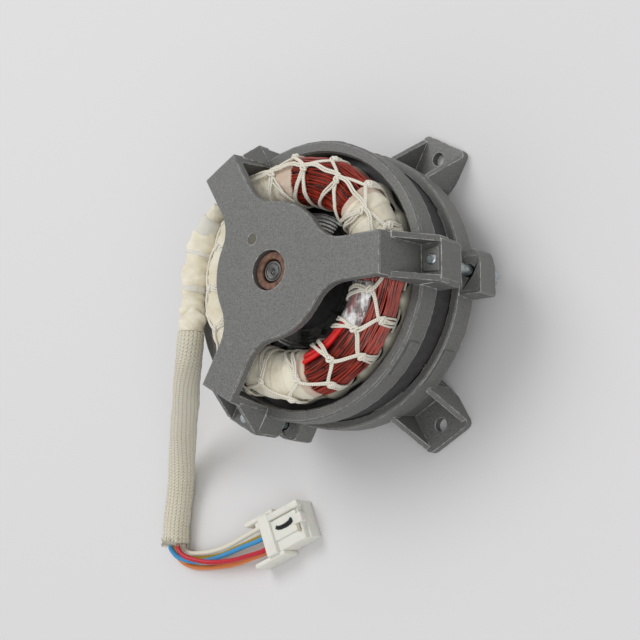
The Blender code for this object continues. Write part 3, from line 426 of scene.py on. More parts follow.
def rounded_blocks(limits, radius, place):
    """Blocks in a frame of their own: a rounded rectangle in (v, w), set along u, then put in place.

    Corner points are corner + r * (cos, sin), and at both ends the outline shrinks by r * (1 - sin)
    as u moves by r * (1 - cos).
    """
    turn = np.radians(np.concatenate([np.linspace(a, a + 90, 4) for a in (0, 90, 180, 270)]))
    sign = np.array([[1, 1], [-1, 1], [-1, -1], [1, -1]]).repeat(4, axis=0)
    ease, blocks = np.radians([0, 45, 90]), []
    for u0, u1, v0, v1, w0, w1 in limits:
        middle, half = np.array([v0 + v1, w0 + w1]) / 2, np.array([v1 - v0, w1 - w0]) / 2
        close = np.concatenate([1 - np.sin(ease), np.zeros(4), 1 - np.sin(ease[::-1])]) * radius
        along = radius * (1 - np.cos(ease))
        between = np.linspace(u0 + radius, u1 - radius, 6)[1:-1]
        stations = np.concatenate([u0 + along, between, u1 - along[::-1]])
        outline = middle + sign * (half - radius - close[:, None, None]) \
            + radius * np.stack([np.cos(turn), np.sin(turn)], -1)
        blocks.append(np.concatenate([np.broadcast_to(stations[:, None, None], (10, 16, 1)), outline], -1))
    return place(np.array(blocks))


def round_ring(local):
    """Points round the shaft axis: u in degrees, v the radius and w the height, both in mm."""
    u, v, w = np.moveaxis(np.asarray(local, dtype=float), -1, 0)
    return np.stack([v * np.cos(np.radians(u)), v * np.sin(np.radians(u)), w], -1) * MM


# Materials

class Finish:
    """A node material under construction: each call adds one node and returns its output."""

    def __init__(self, name, **settings):
        self.material = bpy.data.materials.new(name)
        self.material.use_nodes = True
        self.tree = self.material.node_tree
        self.shader = self.tree.nodes["Principled BSDF"]
        for key, value in settings.items():
            self.put(self.shader.inputs[key.replace("_", " ")], value)
        self.place = self.add("ShaderNodeTexCoord").outputs["Object"]

    def put(self, socket, value):
        if isinstance(value, bpy.types.NodeSocket):
            self.tree.links.new(value, socket)
        elif socket.type == 'RGBA' and len(value) == 3:
            socket.default_value = (*value, 1.0)
        else:
            socket.default_value = value

    def add(self, kind, inputs=(), **settings):
        node = self.tree.nodes.new(kind)
        for key, value in settings.items():
            setattr(node, key, value)
        for key, value in dict(inputs).items():
            self.put(node.inputs[key], value)
        return node

    def noise(self, scale, detail=3.0, roughness=0.55, place=None):
        return self.add("ShaderNodeTexNoise", {"Vector": place or self.place, "Scale": scale,
                                               "Detail": detail, "Roughness": roughness}).outputs["Fac"]

    def cells(self, scale, place=None):
        node = self.add("ShaderNodeTexVoronoi", {"Vector": place or self.place, "Scale": scale})
        return node.outputs["Distance"]

    def split(self, vector=None):
        """X, Y and Z of the place, or of another vector."""
        return self.add("ShaderNodeSeparateXYZ", {0: vector or self.place}).outputs

    def along_and_around(self):
        """The piece's own UV: metres along * 100, and the share of the way round."""
        return self.split(self.add("ShaderNodeUVMap", uv_map="Along").outputs[0])

    def from_shaft(self):
        """Distance from the shaft's axis."""
        x, y, _ = self.split()
        squares = self.maths('ADD', self.maths('POWER', x, 2.0), self.maths('POWER', y, 2.0))
        return self.maths('SQRT', squares)

    def ramp(self, value, *stops):
        node = self.add("ShaderNodeValToRGB", {"Fac": value})
        for spot, (position, colour) in enumerate(stops):
            element = node.color_ramp.elements[spot] if spot < 2 else node.color_ramp.elements.new(position)
            element.position = position
            colour = (colour,) * 3 if isinstance(colour, (int, float)) else colour
            element.color = (*colour, 1.0)
        return node.outputs["Color"]

    def maths(self, operation, a, b=0.0, c=0.0):
        node = self.add("ShaderNodeMath", operation=operation)
        for socket, value in zip(node.inputs, (a, b, c)):
            self.put(socket, value)
        return node.outputs[0]

    def times(self, a, b):
        return self.maths('MULTIPLY', a, b)

    def scaled(self, value, factor, extra):
        """value * factor + extra."""
        return self.maths('MULTIPLY_ADD', value, factor, extra)

    def mix(self, share, a, b):
        node = self.add("ShaderNodeMix", data_type='RGBA')
        for socket, value in zip((node.inputs[0], node.inputs[6], node.inputs[7]), (share, a, b)):
            self.put(socket, value)
        return node.outputs[2]

    def stained(self, colour, scale, levels, amount, shares):
        """A colour with blotches in which each of its channels is lowered to a share of its own."""
        marks = self.ramp(self.noise(scale, 4), (levels[0], 0.0), (levels[1], 1.0))
        lowered = tuple(channel * share for channel, share in zip(colour, shares))
        return self.mix(self.times(marks, amount), colour, lowered)

    def bump(self, height, strength, distance, normal=None):
        inputs = {"Height": height, "Strength": strength, "Distance": distance}
        if normal is not None:
            inputs["Normal"] = normal
        return self.add("ShaderNodeBump", inputs).outputs["Normal"]

    def worn_edges(self, radius):
        """(Rounded normal, 0 to 1 mask of the edges): the mask is how far rounding turns the normal."""
        round_normal = self.add("ShaderNodeBevel", {"Radius": radius}, samples=6).outputs["Normal"]
        flat = self.add("ShaderNodeNewGeometry").outputs["Normal"]
        same = self.add("ShaderNodeVectorMath", {0: round_normal, 1: flat}, operation='DOT_PRODUCT')
        mask = self.ramp(self.maths('SUBTRACT', 1.0, same.outputs["Value"]), (0.02, 0.0), (0.22, 1.0))
        return round_normal, mask

    def use(self, **sockets):
        for key, value in sockets.items():
            self.put(self.shader.inputs[key.replace("_", " ")], value)
        return self.material


def tinted(colour, factor):
    return tuple(min(1.0, c * factor) for c in colour)


def cast_finish(name, colour, radius):
    """Sand-cast skin: salt-and-pepper grain, a few pits, thin broken bright edges, and the gate's stain."""
    f = Finish(name, Metallic=0.4)
    grain, speckle, patches = f.noise(2600, 3, 0.7), f.noise(1900, 3, 0.8), f.noise(14, 2)
    round_normal, edge = f.worn_edges(radius)
    pits = f.times(f.ramp(f.cells(330), (0.04, 1.0), (0.12, 0.0)),
                   f.ramp(f.noise(55, 2), (0.58, 0.0), (0.66, 1.0)))
    base = f.mix(f.ramp(speckle, (0.34, 0.0), (0.68, 1.0)), tinted(colour, 0.56), tinted(colour, 1.5))
    base = f.mix(f.times(patches, 0.3), base, tinted(colour, 0.72))
    base = f.mix(f.times(pits, 0.75), base, tinted(colour, 0.22))
    wide_edge = f.worn_edges(radius * 2.2)[1]
    # Edges painted near white: partly rubbed metal, partly painted highlight where the edges catch the light
    rub_and_highlight = f.times(f.maths('MAXIMUM', edge, f.times(wide_edge, 0.8)),
                  f.ramp(f.noise(330, 3), (0.40, 0.12), (0.56, 1.0)))
    base = f.mix(rub_and_highlight, base, (0.86, 0.86, 0.84))
    gate = f.add("ShaderNodeVectorMath", {0: f.place, 1: GATE}, operation='DISTANCE').outputs["Value"]
    stain = f.ramp(f.times(gate, 0.5 / GATE_RADIUS), (0.46, 0.8), (0.56, 0.0))
    base = f.mix(stain, base, (0.115, 0.105, 0.075))
    height = f.maths('SUBTRACT', f.maths('ADD', grain, f.times(speckle, 1.2)), pits)
    return f.use(Base_Color=base, Roughness=f.scaled(grain, 0.2, 0.44),
                 Normal=f.bump(height, 0.6, 0.00016, round_normal))


def lamination_finish(name, colour):
    """Stack edge: one fine ridge for each half-millimetre sheet, over dark oxide."""
    f = Finish(name, Metallic=0.6)
    sheets = f.maths('SINE', f.times(f.split()["Z"], 2 * math.pi / SHEET))
    base = f.mix(f.noise(300, 3), tinted(colour, 0.6), tinted(colour, 1.7))
    return f.use(Base_Color=base, Roughness=0.48, Normal=f.bump(sheets, 0.4, 0.0001))


def turned_steel_finish(name, colour, pitch, roughness=0.3, along_axis=False):
    """Plated or turned steel with fine rings or threads round its axis and light stains."""
    f = Finish(name, Metallic=1.0)
    reach = f.split()["Z"] if along_axis else f.from_shaft()
    rings = f.maths('SINE', f.times(reach, 2 * math.pi / pitch))
    base = f.mix(f.ramp(f.noise(420, 4), (0.4, 0.0), (0.65, 1.0)), tinted(colour, 0.72), tinted(colour, 1.1))
    rough = f.scaled(f.noise(900, 2), 0.2, roughness - 0.08)
    return f.use(Base_Color=base, Roughness=rough, Normal=f.bump(rings, 0.35, pitch * 0.12))


def bush_finish(name):
    """Sintered bush: rust brown with pale rubbed spots and fine pores."""
    f = Finish(name, Metallic=0.35)
    round_normal, edge = f.worn_edges(0.5 * MM)
    spots = f.ramp(f.noise(380, 4), (0.35, 0.0), (0.65, 1.0))
    base = f.mix(spots, (0.075, 0.034, 0.020), (0.20, 0.100, 0.062))
    base = f.mix(f.times(edge, 0.7), base, (0.40, 0.24, 0.17))
    pores = f.bump(f.noise(1600, 3), 0.4, 0.00012, round_normal)
    return f.use(Base_Color=base, Roughness=0.46, Normal=pores)


def enamel_finish(name, colour):
    """Enamelled wire: each wire has its own shade, with bright and burnt stretches along it."""
    f = Finish(name, Metallic=0.3, Coat_Weight=0.3, Coat_Roughness=0.1)
    own = f.add("ShaderNodeAttribute", attribute_name="strip", attribute_type='GEOMETRY').outputs["Fac"]
    stretch = f.noise(210, 3)
    tone = f.scaled(own, 0.6, f.times(stretch, 0.6))
    base = f.ramp(tone, (0.25, tinted(colour, 0.10)), (0.95, tinted(colour, 2.1)), (0.55, colour))
    return f.use(Base_Color=base, Roughness=f.scaled(stretch, 0.2, 0.2))


def packed_wire_finish(name, colour):
    """Deeper wires as fine ridges round the motor: noise over radius and height, long in angle."""
    f = Finish(name, Metallic=0.3)
    x, y, z = f.split()
    turn = f.times(f.maths('ARCTAN2', y, x), 0.004)
    lay = f.add("ShaderNodeCombineXYZ", {0: f.from_shaft(), 1: z, 2: turn}).outputs[0]
    wires = f.cells(1250, lay)
    base = f.ramp(wires, (0.1, tinted(colour, 0.55)), (0.7, tinted(colour, 0.04)))
    return f.use(Base_Color=base, Roughness=0.35, Normal=f.bump(wires, 0.9, 0.0004))


def cloth_finish(name, colour, threads, crossings, stain=0.6, sheen=0.3, thin=()):
    """Woven cloth from crossing sine threads in the piece's own UV, with stains, wrinkles and fuzz.

    thin lists (angle, half width) in degrees round the shaft where one layer lets the copper glow through.
    """
    f = Finish(name, Roughness=0.88, Sheen_Weight=sheen)
    along, around, _ = f.along_and_around()
    warp = f.maths('SINE', f.times(along, threads))
    weft = f.maths('SINE', f.times(around, 2 * math.pi * crossings))
    weave = f.times(warp, weft)
    base = f.stained(colour, 110, (0.42, 0.72), stain, (0.78, 0.69, 0.55))
    base = f.mix(f.scaled(weave, 0.10, 0.10), base, tinted(colour, 0.6))
    x, y, _ = f.split()
    turn = f.maths('ARCTAN2', y, x)
    for middle, half in thin:
        away = f.maths('ABSOLUTE', f.maths('SUBTRACT', turn, math.radians(middle)))
        near = f.ramp(f.maths('DIVIDE', away, math.radians(half)), (0.7, 0.55), (1.0, 0.0))
        share = f.times(near, f.scaled(f.noise(160, 3), 0.6, 0.5))
        base = f.mix(share, base, (0.50, 0.24, 0.19))
    creases = f.maths('ABSOLUTE', f.maths('SUBTRACT', f.noise(85, 4, 0.6), 0.5))
    crumple = f.scaled(creases, -5.0, f.noise(260, 4))
    height = f.maths('ADD', f.times(weave, 0.25), crumple)
    return f.use(Base_Color=base, Normal=f.bump(height, 0.7, 0.0005))


def twisted_finish(name, colour, turns, lays, depth, stain=0.5):
    """Twisted or braided cord: sine strands that run both ways round the piece's own UV."""
    f = Finish(name, Roughness=0.85, Sheen_Weight=0.3)
    along, around, _ = f.along_and_around()
    around = f.times(around, 2 * math.pi * lays)
    along = f.times(along, turns)
    one = f.maths('SINE', f.maths('ADD', along, around))
    other = f.maths('SINE', f.maths('SUBTRACT', along, around))
    strands = f.maths('MAXIMUM', one, other)
    base = f.stained(colour, 95, (0.4, 0.75), stain, (0.75, 0.66, 0.52))
    base = f.mix(f.ramp(strands, (0.0, 0.55), (0.75, 0.0)), base, tinted(colour, 0.45))
    return f.use(Base_Color=base, Normal=f.bump(f.maths('ADD', strands, f.noise(700, 2)), 0.7, depth))


def knit_finish(name, colour, columns, stitch, depth):
    """Knitted sleeve: columns of small V stitches along the piece's own UV, with dark grooves between."""
    f = Finish(name, Roughness=0.86, Sheen_Weight=0.3)
    along, around, _ = f.along_and_around()
    share = f.maths('FRACT', f.times(around, columns))
    side = f.times(f.maths('ABSOLUTE', f.maths('SUBTRACT', share, 0.5)), 2.0)
    vee = f.maths('SINE', f.scaled(along, stitch, f.times(side, 3.6)))
    groove = f.maths('POWER', side, 5.0)
    base = f.stained(colour, 70, (0.45, 0.8), 0.3, (0.8, 0.72, 0.58))
    base = f.mix(f.ramp(vee, (0.0, 0.32), (0.6, 0.0)), base, tinted(colour, 0.5))
    base = f.mix(f.times(groove, 0.35), base, tinted(colour, 0.45))
    height = f.maths('SUBTRACT', f.times(vee, 0.5), f.times(groove, 1.3))
    return f.use(Base_Color=base, Normal=f.bump(height, 0.7, depth))


def plastic_finish(name, colour, roughness=0.34, speck=0.12, coat=0.0):
    """Extruded or moulded plastic with a slight change of tone and a soft orange-peel skin."""
    f = Finish(name, Coat_Weight=coat, Coat_Roughness=0.2)
    base = f.mix(f.times(f.noise(140, 3), speck * 2), colour, tinted(colour, 0.6))
    return f.use(Base_Color=base, Roughness=f.scaled(f.noise(500, 2), 0.15, roughness - 0.07),
                 Normal=f.bump(f.noise(700, 2), 0.2, 0.0001))


def nylon_finish(name, colour, radius):
    """Moulded nylon: soft edges, a little light inside, faint grey rubbing."""
    f = Finish(name, Subsurface_Weight=0.15, Subsurface_Scale=0.002)
    round_normal, edge = f.worn_edges(radius)
    marks = f.ramp(f.noise(120, 4), (0.5, 0.0), (0.8, 0.5))
    base = f.mix(marks, colour, tinted(colour, 0.82))
    base = f.mix(f.times(edge, 0.3), base, (0.88, 0.87, 0.82))
    return f.use(Base_Color=base, Roughness=0.38, Normal=f.bump(f.noise(900, 2), 0.15, 0.0001, round_normal))


def film_finish(name):
    """Clear film: see-through and creased, with pale streaks where the creases catch the light."""
    f = Finish(name, Base_Color=(0.95, 0.95, 0.94), Roughness=0.05, IOR=1.45)
    drawn = f.add("ShaderNodeVectorMath", {0: f.place, 1: (1.6, 0.5, 1.6)}, operation='MULTIPLY').outputs[0]
    highlight_streak = f.ramp(f.noise(200, 3, place=drawn), (0.47, 0.12), (0.62, 0.85))
    return f.use(Transmission_Weight=f.maths('SUBTRACT', 1.0, highlight_streak),
                 Normal=f.bump(f.noise(190, 3), 0.6, 0.0012))


# Operators

OPERATORS = []


def operator(label):
    """Make a function of the sizes and colours into an operator. All run in the order of this file."""
    def enlist(build):
        def execute(self, context):
            build(context.scene.motor_sizes, context.scene.motor_colours)
            return {'FINISHED'}

        OPERATORS.append(type(f"MOTOR_OT_{build.__name__}", (bpy.types.Operator,), {
            "__doc__": build.__doc__, "bl_idname": f"motor.{build.__name__}", "bl_label": label,
            "execute": execute}))
        return build
    return enlist


@operator("Castings")
def castings(sizes, colours):
    """Front and rear brackets in sand-textured aluminium."""
    skin_finish = cast_finish("sand cast aluminium", colours.casting[:], sizes.edge_radius)
    smooth_copy("front_bracket", skin_finish)
    # The rear bracket's copy is painted lighter than the front one: painted light for its feet and ring,
    # which the lamps light more
    painted_lighter = cast_finish("sand cast aluminium painted lighter", tinted(colours.casting[:], 1.14), sizes.edge_radius)
    reshape(reshape(smooth_copy("rear_bracket", painted_lighter), 120.0, 0.0, rear_lugs), 120.0, 60.0, rear_feet)
    for name, (start, end, *block), radius in PADS:
        limits = [(turn + start, turn + end, *block) for turn in (0, 120, 240)]
        pad = skin(name, rounded_blocks(limits, radius, round_ring), skin_finish)
        dress(pad, slot_of("front_bracket"))


@operator("Fasteners")
def fasteners(sizes, colours):
    """Through-bolts and washers."""
    zinc = turned_steel_finish("zinc plated thread", (0.58, 0.65, 0.67), 0.0008, 0.24, along_axis=True)
    plain = turned_steel_finish("spring steel", (0.34, 0.34, 0.35), 0.0006, 0.38)
    for k in (1, 2, 3):
        smooth_copy(f"through_bolt_{k}", zinc)
        smooth_copy(f"flat_washer_{k}", zinc)
        smooth_copy(f"lock_washer_{k}", plain)


@operator("Core and rotor")
def core(sizes, colours):
    """Stator and rotor laminations, the rotor's cage, shaft, bushes and felts."""
    stack = lamination_finish("oxide laminations", colours.core[:])
    reshape(smooth_copy("stator_core", stack), 120.0, 0.0, core_faces)
    smooth_copy("rotor_core", stack)
    # The rotor's cage is painted dark: partly dirt, partly painted shade inside the frame
    smooth_copy("rotor_cage", turned_steel_finish("cast cage", (0.17, 0.17, 0.165), 0.0016, 0.4))
    smooth_copy("shaft", turned_steel_finish("turned shaft", (0.12, 0.118, 0.116), 0.0006, 0.33))
    bush = bush_finish("sintered bush")
    steel = turned_steel_finish("spring washer", (0.34, 0.34, 0.35), 0.0006, 0.38)
    felt = plastic_finish("oiled felt", (0.075, 0.06, 0.045), 0.8, 0.3)
    for end in ("front", "rear"):
        smooth_copy(f"{end}_bush", bush)
        smooth_copy(f"{end}_felt_retainer", steel)
        smooth_copy(f"{end}_thrust_washer", steel)
        smooth_copy(f"{end}_oil_felt", felt)


def bare_swell(angle, roll):
    """How far the bare wire stands out of the taped section: lower where it is pressed or lead-bedded."""
    bed = in_span(angle, LEAD_BED_SPAN, 5.0) * smooth_step(roll, 84, 98) * (1 - smooth_step(roll, 150, 168))
    swell = 1.25 - 2.75 * bed
    pressed = in_span(angle, PRESSED_SPAN, 10.0)
    swell = swell * (1 - pressed) - 2.4 * pressed
    for span in TAPE_SPANS:
        swell = swell - (swell + 0.2) * in_span(angle, span, 3.0)
    return swell - 0.5 * in_span(angle, FILM_SPAN, 3.0) * (1 - bed)


@operator("Winding wires")
def winding(sizes, colours):
    """Wires of the winding head, over a body of deeper wire."""
    body = smooth_copy("stator_winding", packed_wire_finish("packed wire in painted shade", colours.enamel[:]))
    body.data.set_sharp_from_angle(angle=math.radians(50))
    rng = np.random.default_rng(11)
    count = sizes.wire_count
    angle = circle(200, 360)
    own = np.linspace(-0.13, 0.66, count)[:, None] + rng.normal(0, 0.002, (count, 1))
    bundle = np.repeat(ripple(rng, angle, count // 8 + 1, 2, 9), 8, axis=0)[:count]
    wander = sizes.wire_wander / MM / 62.0
    share = own + wander * (0.8 * bundle + 0.7 * ripple(rng, angle, count, 5, 16))
    roll = even_rolls(share)
    waist = np.min([np.abs((angle - s[0] + 180) % 360 - 180) for s in LACING_STATIONS], axis=0)
    swell = bare_swell(angle[None, :], roll) + 0.35 * smooth_step(waist, 1, 8) \
        + 0.16 * ripple(rng, angle, count, 8, 22)
    path = coil_surface(angle, roll, swell)
    facing = UP + 0.3 * path / np.linalg.norm(path, axis=-1, keepdims=True)
    wires = tube(path, sizes.wire_gauge / 2, 5, facing, closed=True)
    piece = skin("winding_wires", wires, enamel_finish("enamelled wire", colours.enamel[:]),
                 closed_along=True)
    dress(piece, "enamelled_wire")


def tape_turns(span, swell, width, seed):
    """Overlapping turns of tape: a sawtooth of height over angle, tilted with the roll, with creases."""
    rng = np.random.default_rng(seed)
    angle = np.linspace(span[0], span[1], 90)[:, None]
    roll = circle(72, 360)[None, :]
    lean = 4.0 * np.sin(np.radians(roll - 40)) * smooth_step(angle, span[0], span[0] + 1)
    arc = np.radians(angle + lean) * COIL_R / (width / MM)
    step = arc - np.floor(arc)
    edge = 0.55 * (1 - step) * smooth_step(step, 0.0, 0.05)
    crease = 0.0
    for _ in range(9):
        a, b, c = rng.uniform(-0.5, 0.5), rng.integers(1, 6), rng.uniform(0, 6.28)
        crease = crease + 0.13 * np.sin(a * angle + np.radians(roll) * b + c) ** 3
    close = np.minimum(smooth_step(angle, span[0], span[0] + 1.2),
                       1 - smooth_step(angle, span[1] - 1.2, span[1]))
    rise = (swell + edge + crease) * (0.55 + 0.45 * close)
    points = coil_surface(angle, roll, rise)
    points[..., 2] = np.maximum(points[..., 2], (CORE_FRONT + CLEAR) * MM)
    return points


@operator("Tape, film and winding leads")
def tape(sizes, colours):
    """Cloth tape and clear film round the winding, with the two bright leads."""
    cloth = cloth_finish("cloth tape", colours.tape[:], 75.0, 90, thin=THIN_TAPE)
    for k, span in enumerate(TAPE_SPANS):
        dress(skin(f"tape_{k + 1}_cloth", tape_turns(span, 1.0, sizes.tape_width, 21 + k), cloth),
              "cloth_tape", f"winding_tape_{k + 1}")
    cover = tape_turns(COVER_SPAN, -0.85, sizes.tape_width * 1.6, 31)
    dress(skin("crown_cover_cloth", cover, cloth), "cloth_tape")
    angle = np.linspace(FILM_SPAN[0], FILM_SPAN[1], 40)[:, None]
    roll = np.linspace(68, 206, 50)[None, :]
    puff = 1.9 + 0.25 * np.sin(angle * 0.5 + roll * 0.03) * np.sin(roll * 0.09)
    film = coil_surface(angle, roll, puff)
    dress(skin("film_wrap", film, film_finish("clear film"), closed_around=False, thickness=0.12 * MM),
          "clear_film", "winding_film")
    red = plastic_finish("winding lead red", colours.winding_lead[:], 0.3, 0.08, coat=0.3)
    along = np.linspace(343.0, 276.0, 66)
    sunk = 2.6 * (1 - smooth_step(along, 276, 286))
    for k, (rolls, lift) in enumerate(WINDING_LEADS):
        path = coil_surface(along, np.interp(along, LEAD_MARKS, rolls), 0.15 + lift - sunk)
        dress(skin(f"winding_lead_{k + 1}_cover", tube(path, sizes.winding_lead_gauge / 2, 16), red),
              "red_lead", f"winding_lead_{k + 1}")


@operator("Lacing")
def lacing(sizes, colours):
    """Net of paired cords that ties the winding head, and the plain lacing of the rear head."""
    cord = twisted_finish("lacing cord", colours.cord[:], 60.0, 2, 0.0001, 0.25)
    rng = np.random.default_rng(5)
    gauge = sizes.lacing_gauge / MM
    stations = np.array(LACING_STATIONS)
    roll = circle(96, 360)
    inward = smooth_step(roll, JUNCTION_ROLL, 170) * (1 - smooth_step(roll, 250, 330))
    outward = (1 - smooth_step(roll, KNOT_ROLL, JUNCTION_ROLL)) + smooth_step(roll, 290, 340)
    strands, centre = [], stations[:, :1]
    for inner, outer, side in ((1, 4, 1), (2, 3, -1)):
        bend = centre + (stations[:, inner:inner + 1] - centre) * inward \
            + (stations[:, outer:outer + 1] - centre) * outward
        for twin in (-0.5, 0.5):
            beside = side * 0.95 * smooth_step(np.abs(roll - JUNCTION_ROLL), 4, 30) + twin
            wobble = 0.22 * np.sin(np.radians(roll) * 5 + rng.uniform(0, 6.28, (len(stations), 1)))
            angle = bend + np.degrees((beside * gauge + wobble) / (COIL_R - 4 + 9 * outward))
            pressed = in_span(angle, PRESSED_SPAN, 10.0)
            lift = (2.45 + 0.25 * side * (roll < 120)) * (1 - pressed) - 0.2 * pressed
            points = coil_surface(angle, roll, lift)
            points[..., 2] = np.maximum(points[..., 2], (CORE_FRONT + CLEAR + gauge / 2) * MM)
            strands.append(points)
    path = np.concatenate(strands)
    net = tube(path, sizes.lacing_gauge / 2, 8, round_axis(path), closed=True)
    dress(skin("lacing_net", net, cord, closed_along=True), "lacing_cord", "front_lacing")

    share = np.linspace(0, 1, 28)[None, :]
    runs, lines = stations[list(RUNNER_STATIONS), 0], []
    ends = stations[[i + 1 for i in RUNNER_STATIONS], 0]
    for twin in (-0.55, 0.55):
        angle = runs[:, None] + (ends - runs)[:, None] * share
        over = JUNCTION_ROLL - 9 + 5 * twin + 2.5 * np.sin(share * 9 + runs[:, None])
        lines.append(coil_surface(angle, over, 2.9 + 0.25 * np.sin(share * np.pi)))
    path = np.concatenate(lines)
    dress(skin("lacing_runners", tube(path, sizes.lacing_gauge / 2, 8), cord), "lacing_cord")

    turn = circle(48)[None, :]
    spots = np.concatenate([stations[:, [0]], stations[:, [4]]])
    tilt = np.concatenate([np.full(len(stations), JUNCTION_ROLL), np.full(len(stations), KNOT_ROLL)])
    press = in_span(spots, PRESSED_SPAN, 10.0)
    hitch = coil_surface(spots + 1.7 * np.cos(turn + 0.6), tilt[:, None] + 4.6 * np.sin(turn),
                         (3.0 - 3.0 * press) + 0.35 * np.sin(2 * turn))
    hitch = tube(hitch, sizes.lacing_gauge * 0.62, 8, np.array([0.3, 0.2, 1.0]), closed=True)
    dress(skin("lacing_hitches", hitch, cord, closed_along=True), "lacing_cord")

    loops = circle(8)[:, None, None]
    pair = np.array([-0.7, 0.7])[None, :, None]
    roll = circle(64, 360)[None, None, :]
    angle = np.degrees(loops) + np.degrees(pair * gauge / COIL_R)
    path = coil_surface(angle, roll, 0.6 + gauge / 2, REAR_COIL_Z, REAR_HALF_H)
    path[..., 2] = np.minimum(path[..., 2], (CORE_REAR - CLEAR - gauge / 2) * MM)
    path = path.reshape(-1, 64, 3)
    ring = coil_surface(circle(240, 360)[None], -62.0, 0.7 + gauge / 2, REAR_COIL_Z, REAR_HALF_H)
    loops = tube(path, sizes.lacing_gauge / 2, 8, round_axis(path), closed=True)
    dress(skin("rear_lacing_loops", loops, cord, closed_along=True), "lacing_cord", "rear_lacing")
    runner = tube(ring, sizes.lacing_gauge / 2, 8, closed=True)
    dress(skin("rear_lacing_runner", runner, cord, closed_along=True), "lacing_cord")


@operator("Insulation collar")
def collar(sizes, colours):
    """Scalloped insulation between the winding head and the casting's ring."""
    angle = circle(432, 360)[:, None]
    roll = circle(20)[None, :]
    lobe = np.abs(np.cos(np.radians((angle + COLLAR_START) * COLLAR_LOBES))) ** 2.6
    c, s = np.cos(roll), np.sin(roll)
    radius = COLLAR_R + signed_power(c, 0.8) * (0.7 + 2.3 * lobe)
    height = COLLAR_Z + 2.4 * lobe + signed_power(s, 0.8) * (1.2 + 3.8 * lobe)
    points = round_ring(np.stack(np.broadcast_arrays(angle, radius, height), -1))
    cuff = plastic_finish("insulation cuff", (0.56, 0.54, 0.44), 0.42, 0.25)
    dress(skin("insulation_cuffs", points, cuff, closed_along=True), "paper", "insulation_collar")


@operator("Taped joint")
def joint(sizes, colours):
    """Taped bundle of lead joints with its ties."""
    path = route(JOINT_ROUTE, 0.5 * MM)
    n, sides = len(path), 64
    s = np.linspace(0, length_of(path) / MM, n)[:, None]
    roll = circle(sides)[None, :]
    turn = s / 8.5 + roll / (2 * np.pi)
    step = turn - np.floor(turn)
    edge = 0.5 * (1 - step) * smooth_step(step, 0, 0.07)
    tie = np.exp(-(((s - 53 - 2.2 * np.sin(roll * 2)) / 0.8) ** 2))
    lump = 0.40 * np.sin(s * 0.31 + roll * 2) + 0.28 * np.sin(s * 0.7 - roll * 3 + 1) \
        + 0.2 * np.sin(s * 1.3 + roll * 4) ** 3 - 1.1 * tie - 0.7 * smooth_step(s, 57, 61) \
        + 0.6 * (np.abs(np.sin(s * 0.19 + roll)) - 0.6) - 0.5 * (np.abs(np.sin(s * 0.34 - roll + 2)) - 0.6) \
        + 0.3 * (np.abs(np.sin(s * 0.6 + 2 * roll)) - 0.6)
    taper = 0.62 + 0.38 * smooth_step(s, 0, 15)
    wide = np.interp(s, *JOINT_HALF_W)
    reach = (oval(roll, JOINT_HALF_H, wide) + edge + lump) * taper * MM
    cloth = cloth_finish("joint tape", tinted(colours.tape[:], 1.03), 75.0, 70)
    dress(skin("joint_tape", tube(path, reach, sides), cloth), "cloth_tape", "taped_lead_joint")
    centre = np.array(BAND_MIDDLES) + np.linspace(-0.5, 0.5, 9) * np.array(BAND_WIDTHS)
    spots = np.stack([np.interp(centre * MM, s[:, 0] * MM, path[:, axis]) for axis in range(3)], -1)
    wide = np.interp(centre, s[:, 0], wide[:, 0])[..., None]
    hem = 0.6 * (np.arange(9) % 8 == 0)[None, :, None]
    waves = 0.12 * np.sin(centre[..., None] * 2.1 + 3 * roll[None])
    swell = 0.75 + oval(roll, JOINT_HALF_H, wide) + waves - hem
    white = cloth_finish("white band", (0.84, 0.82, 0.74), 75.0, 70, 0.25)
    dress(skin("joint_bands", tube(spots, swell * MM, sides), white), "cloth_tape")


@operator("Braided sleeve")
def sleeve(sizes, colours):
    """Braided glass-fibre sleeve."""
    path = route(SLEEVE_ROUTE, 1.2 * MM)
    s = np.linspace(0, length_of(path) / MM, len(path))[:, None]
    roll = circle(48)[None, :]
    slack = 1 + 0.022 * np.sin(s * 0.21 + roll) + 0.014 * np.sin(s * 0.53 - 2 * roll) \
        + 0.010 * np.sin(s * 1.3 + 3 * roll)
    braid = knit_finish("knitted glass sleeve", colours.sleeve[:], 20.0, 36.0, 0.00045)
    outside = tube(path, sizes.sleeve_gauge / 2 * (slack + 0.07 * smooth_step(s, 10, 80)), 48)
    outside[..., 2] = np.maximum(outside[..., 2], 0.1 * MM)
    piece = dress(skin("sleeve_braid", outside, braid), "glass_sleeve", "braided_sleeve")
    ahead = (path[-1] - path[-2]) / np.linalg.norm(path[-1] - path[-2])
    across = np.cross(ahead, (0.0, 0.0, 1.0))
    rng = np.random.default_rng(8)
    spin = circle(FRAY_COUNT)[:, None, None]
    out = across * np.cos(spin) + np.cross(across, ahead) * np.sin(spin)
    run = np.linspace(-1.2, 1.0, 6)[None, :, None] * rng.uniform(1.2, 2.6, (FRAY_COUNT, 1, 1)) * MM
    stray = 0.25 * run * rng.normal(0.2, 0.8, (FRAY_COUNT, 1, 1))
    fray = path[-1] + out * (FRAY_REACH + stray) + ahead * run
    fuzz = cloth_finish("frayed glass", tinted(colours.sleeve[:], 0.72), 75.0, 3)
    fray[..., 2] = np.maximum(fray[..., 2], 0.3 * MM)
    dress(skin("sleeve_fray", tube(fray, FRAY_RADIUS, 5, across), fuzz), "glass_sleeve")


def connector_points(local):
    """Points of the connector's own frame in metres: u along it, v across it, w up from the ground."""
    u, v, w = np.moveaxis(np.asarray(local, dtype=float), -1, 0)
    c, s = math.cos(math.radians(CONNECTOR_TURN)), math.sin(math.radians(CONNECTOR_TURN))
    return np.stack([CONNECTOR_CENTRE[0] + c * u - s * v, CONNECTOR_CENTRE[1] + s * u + c * v, w], -1) * MM


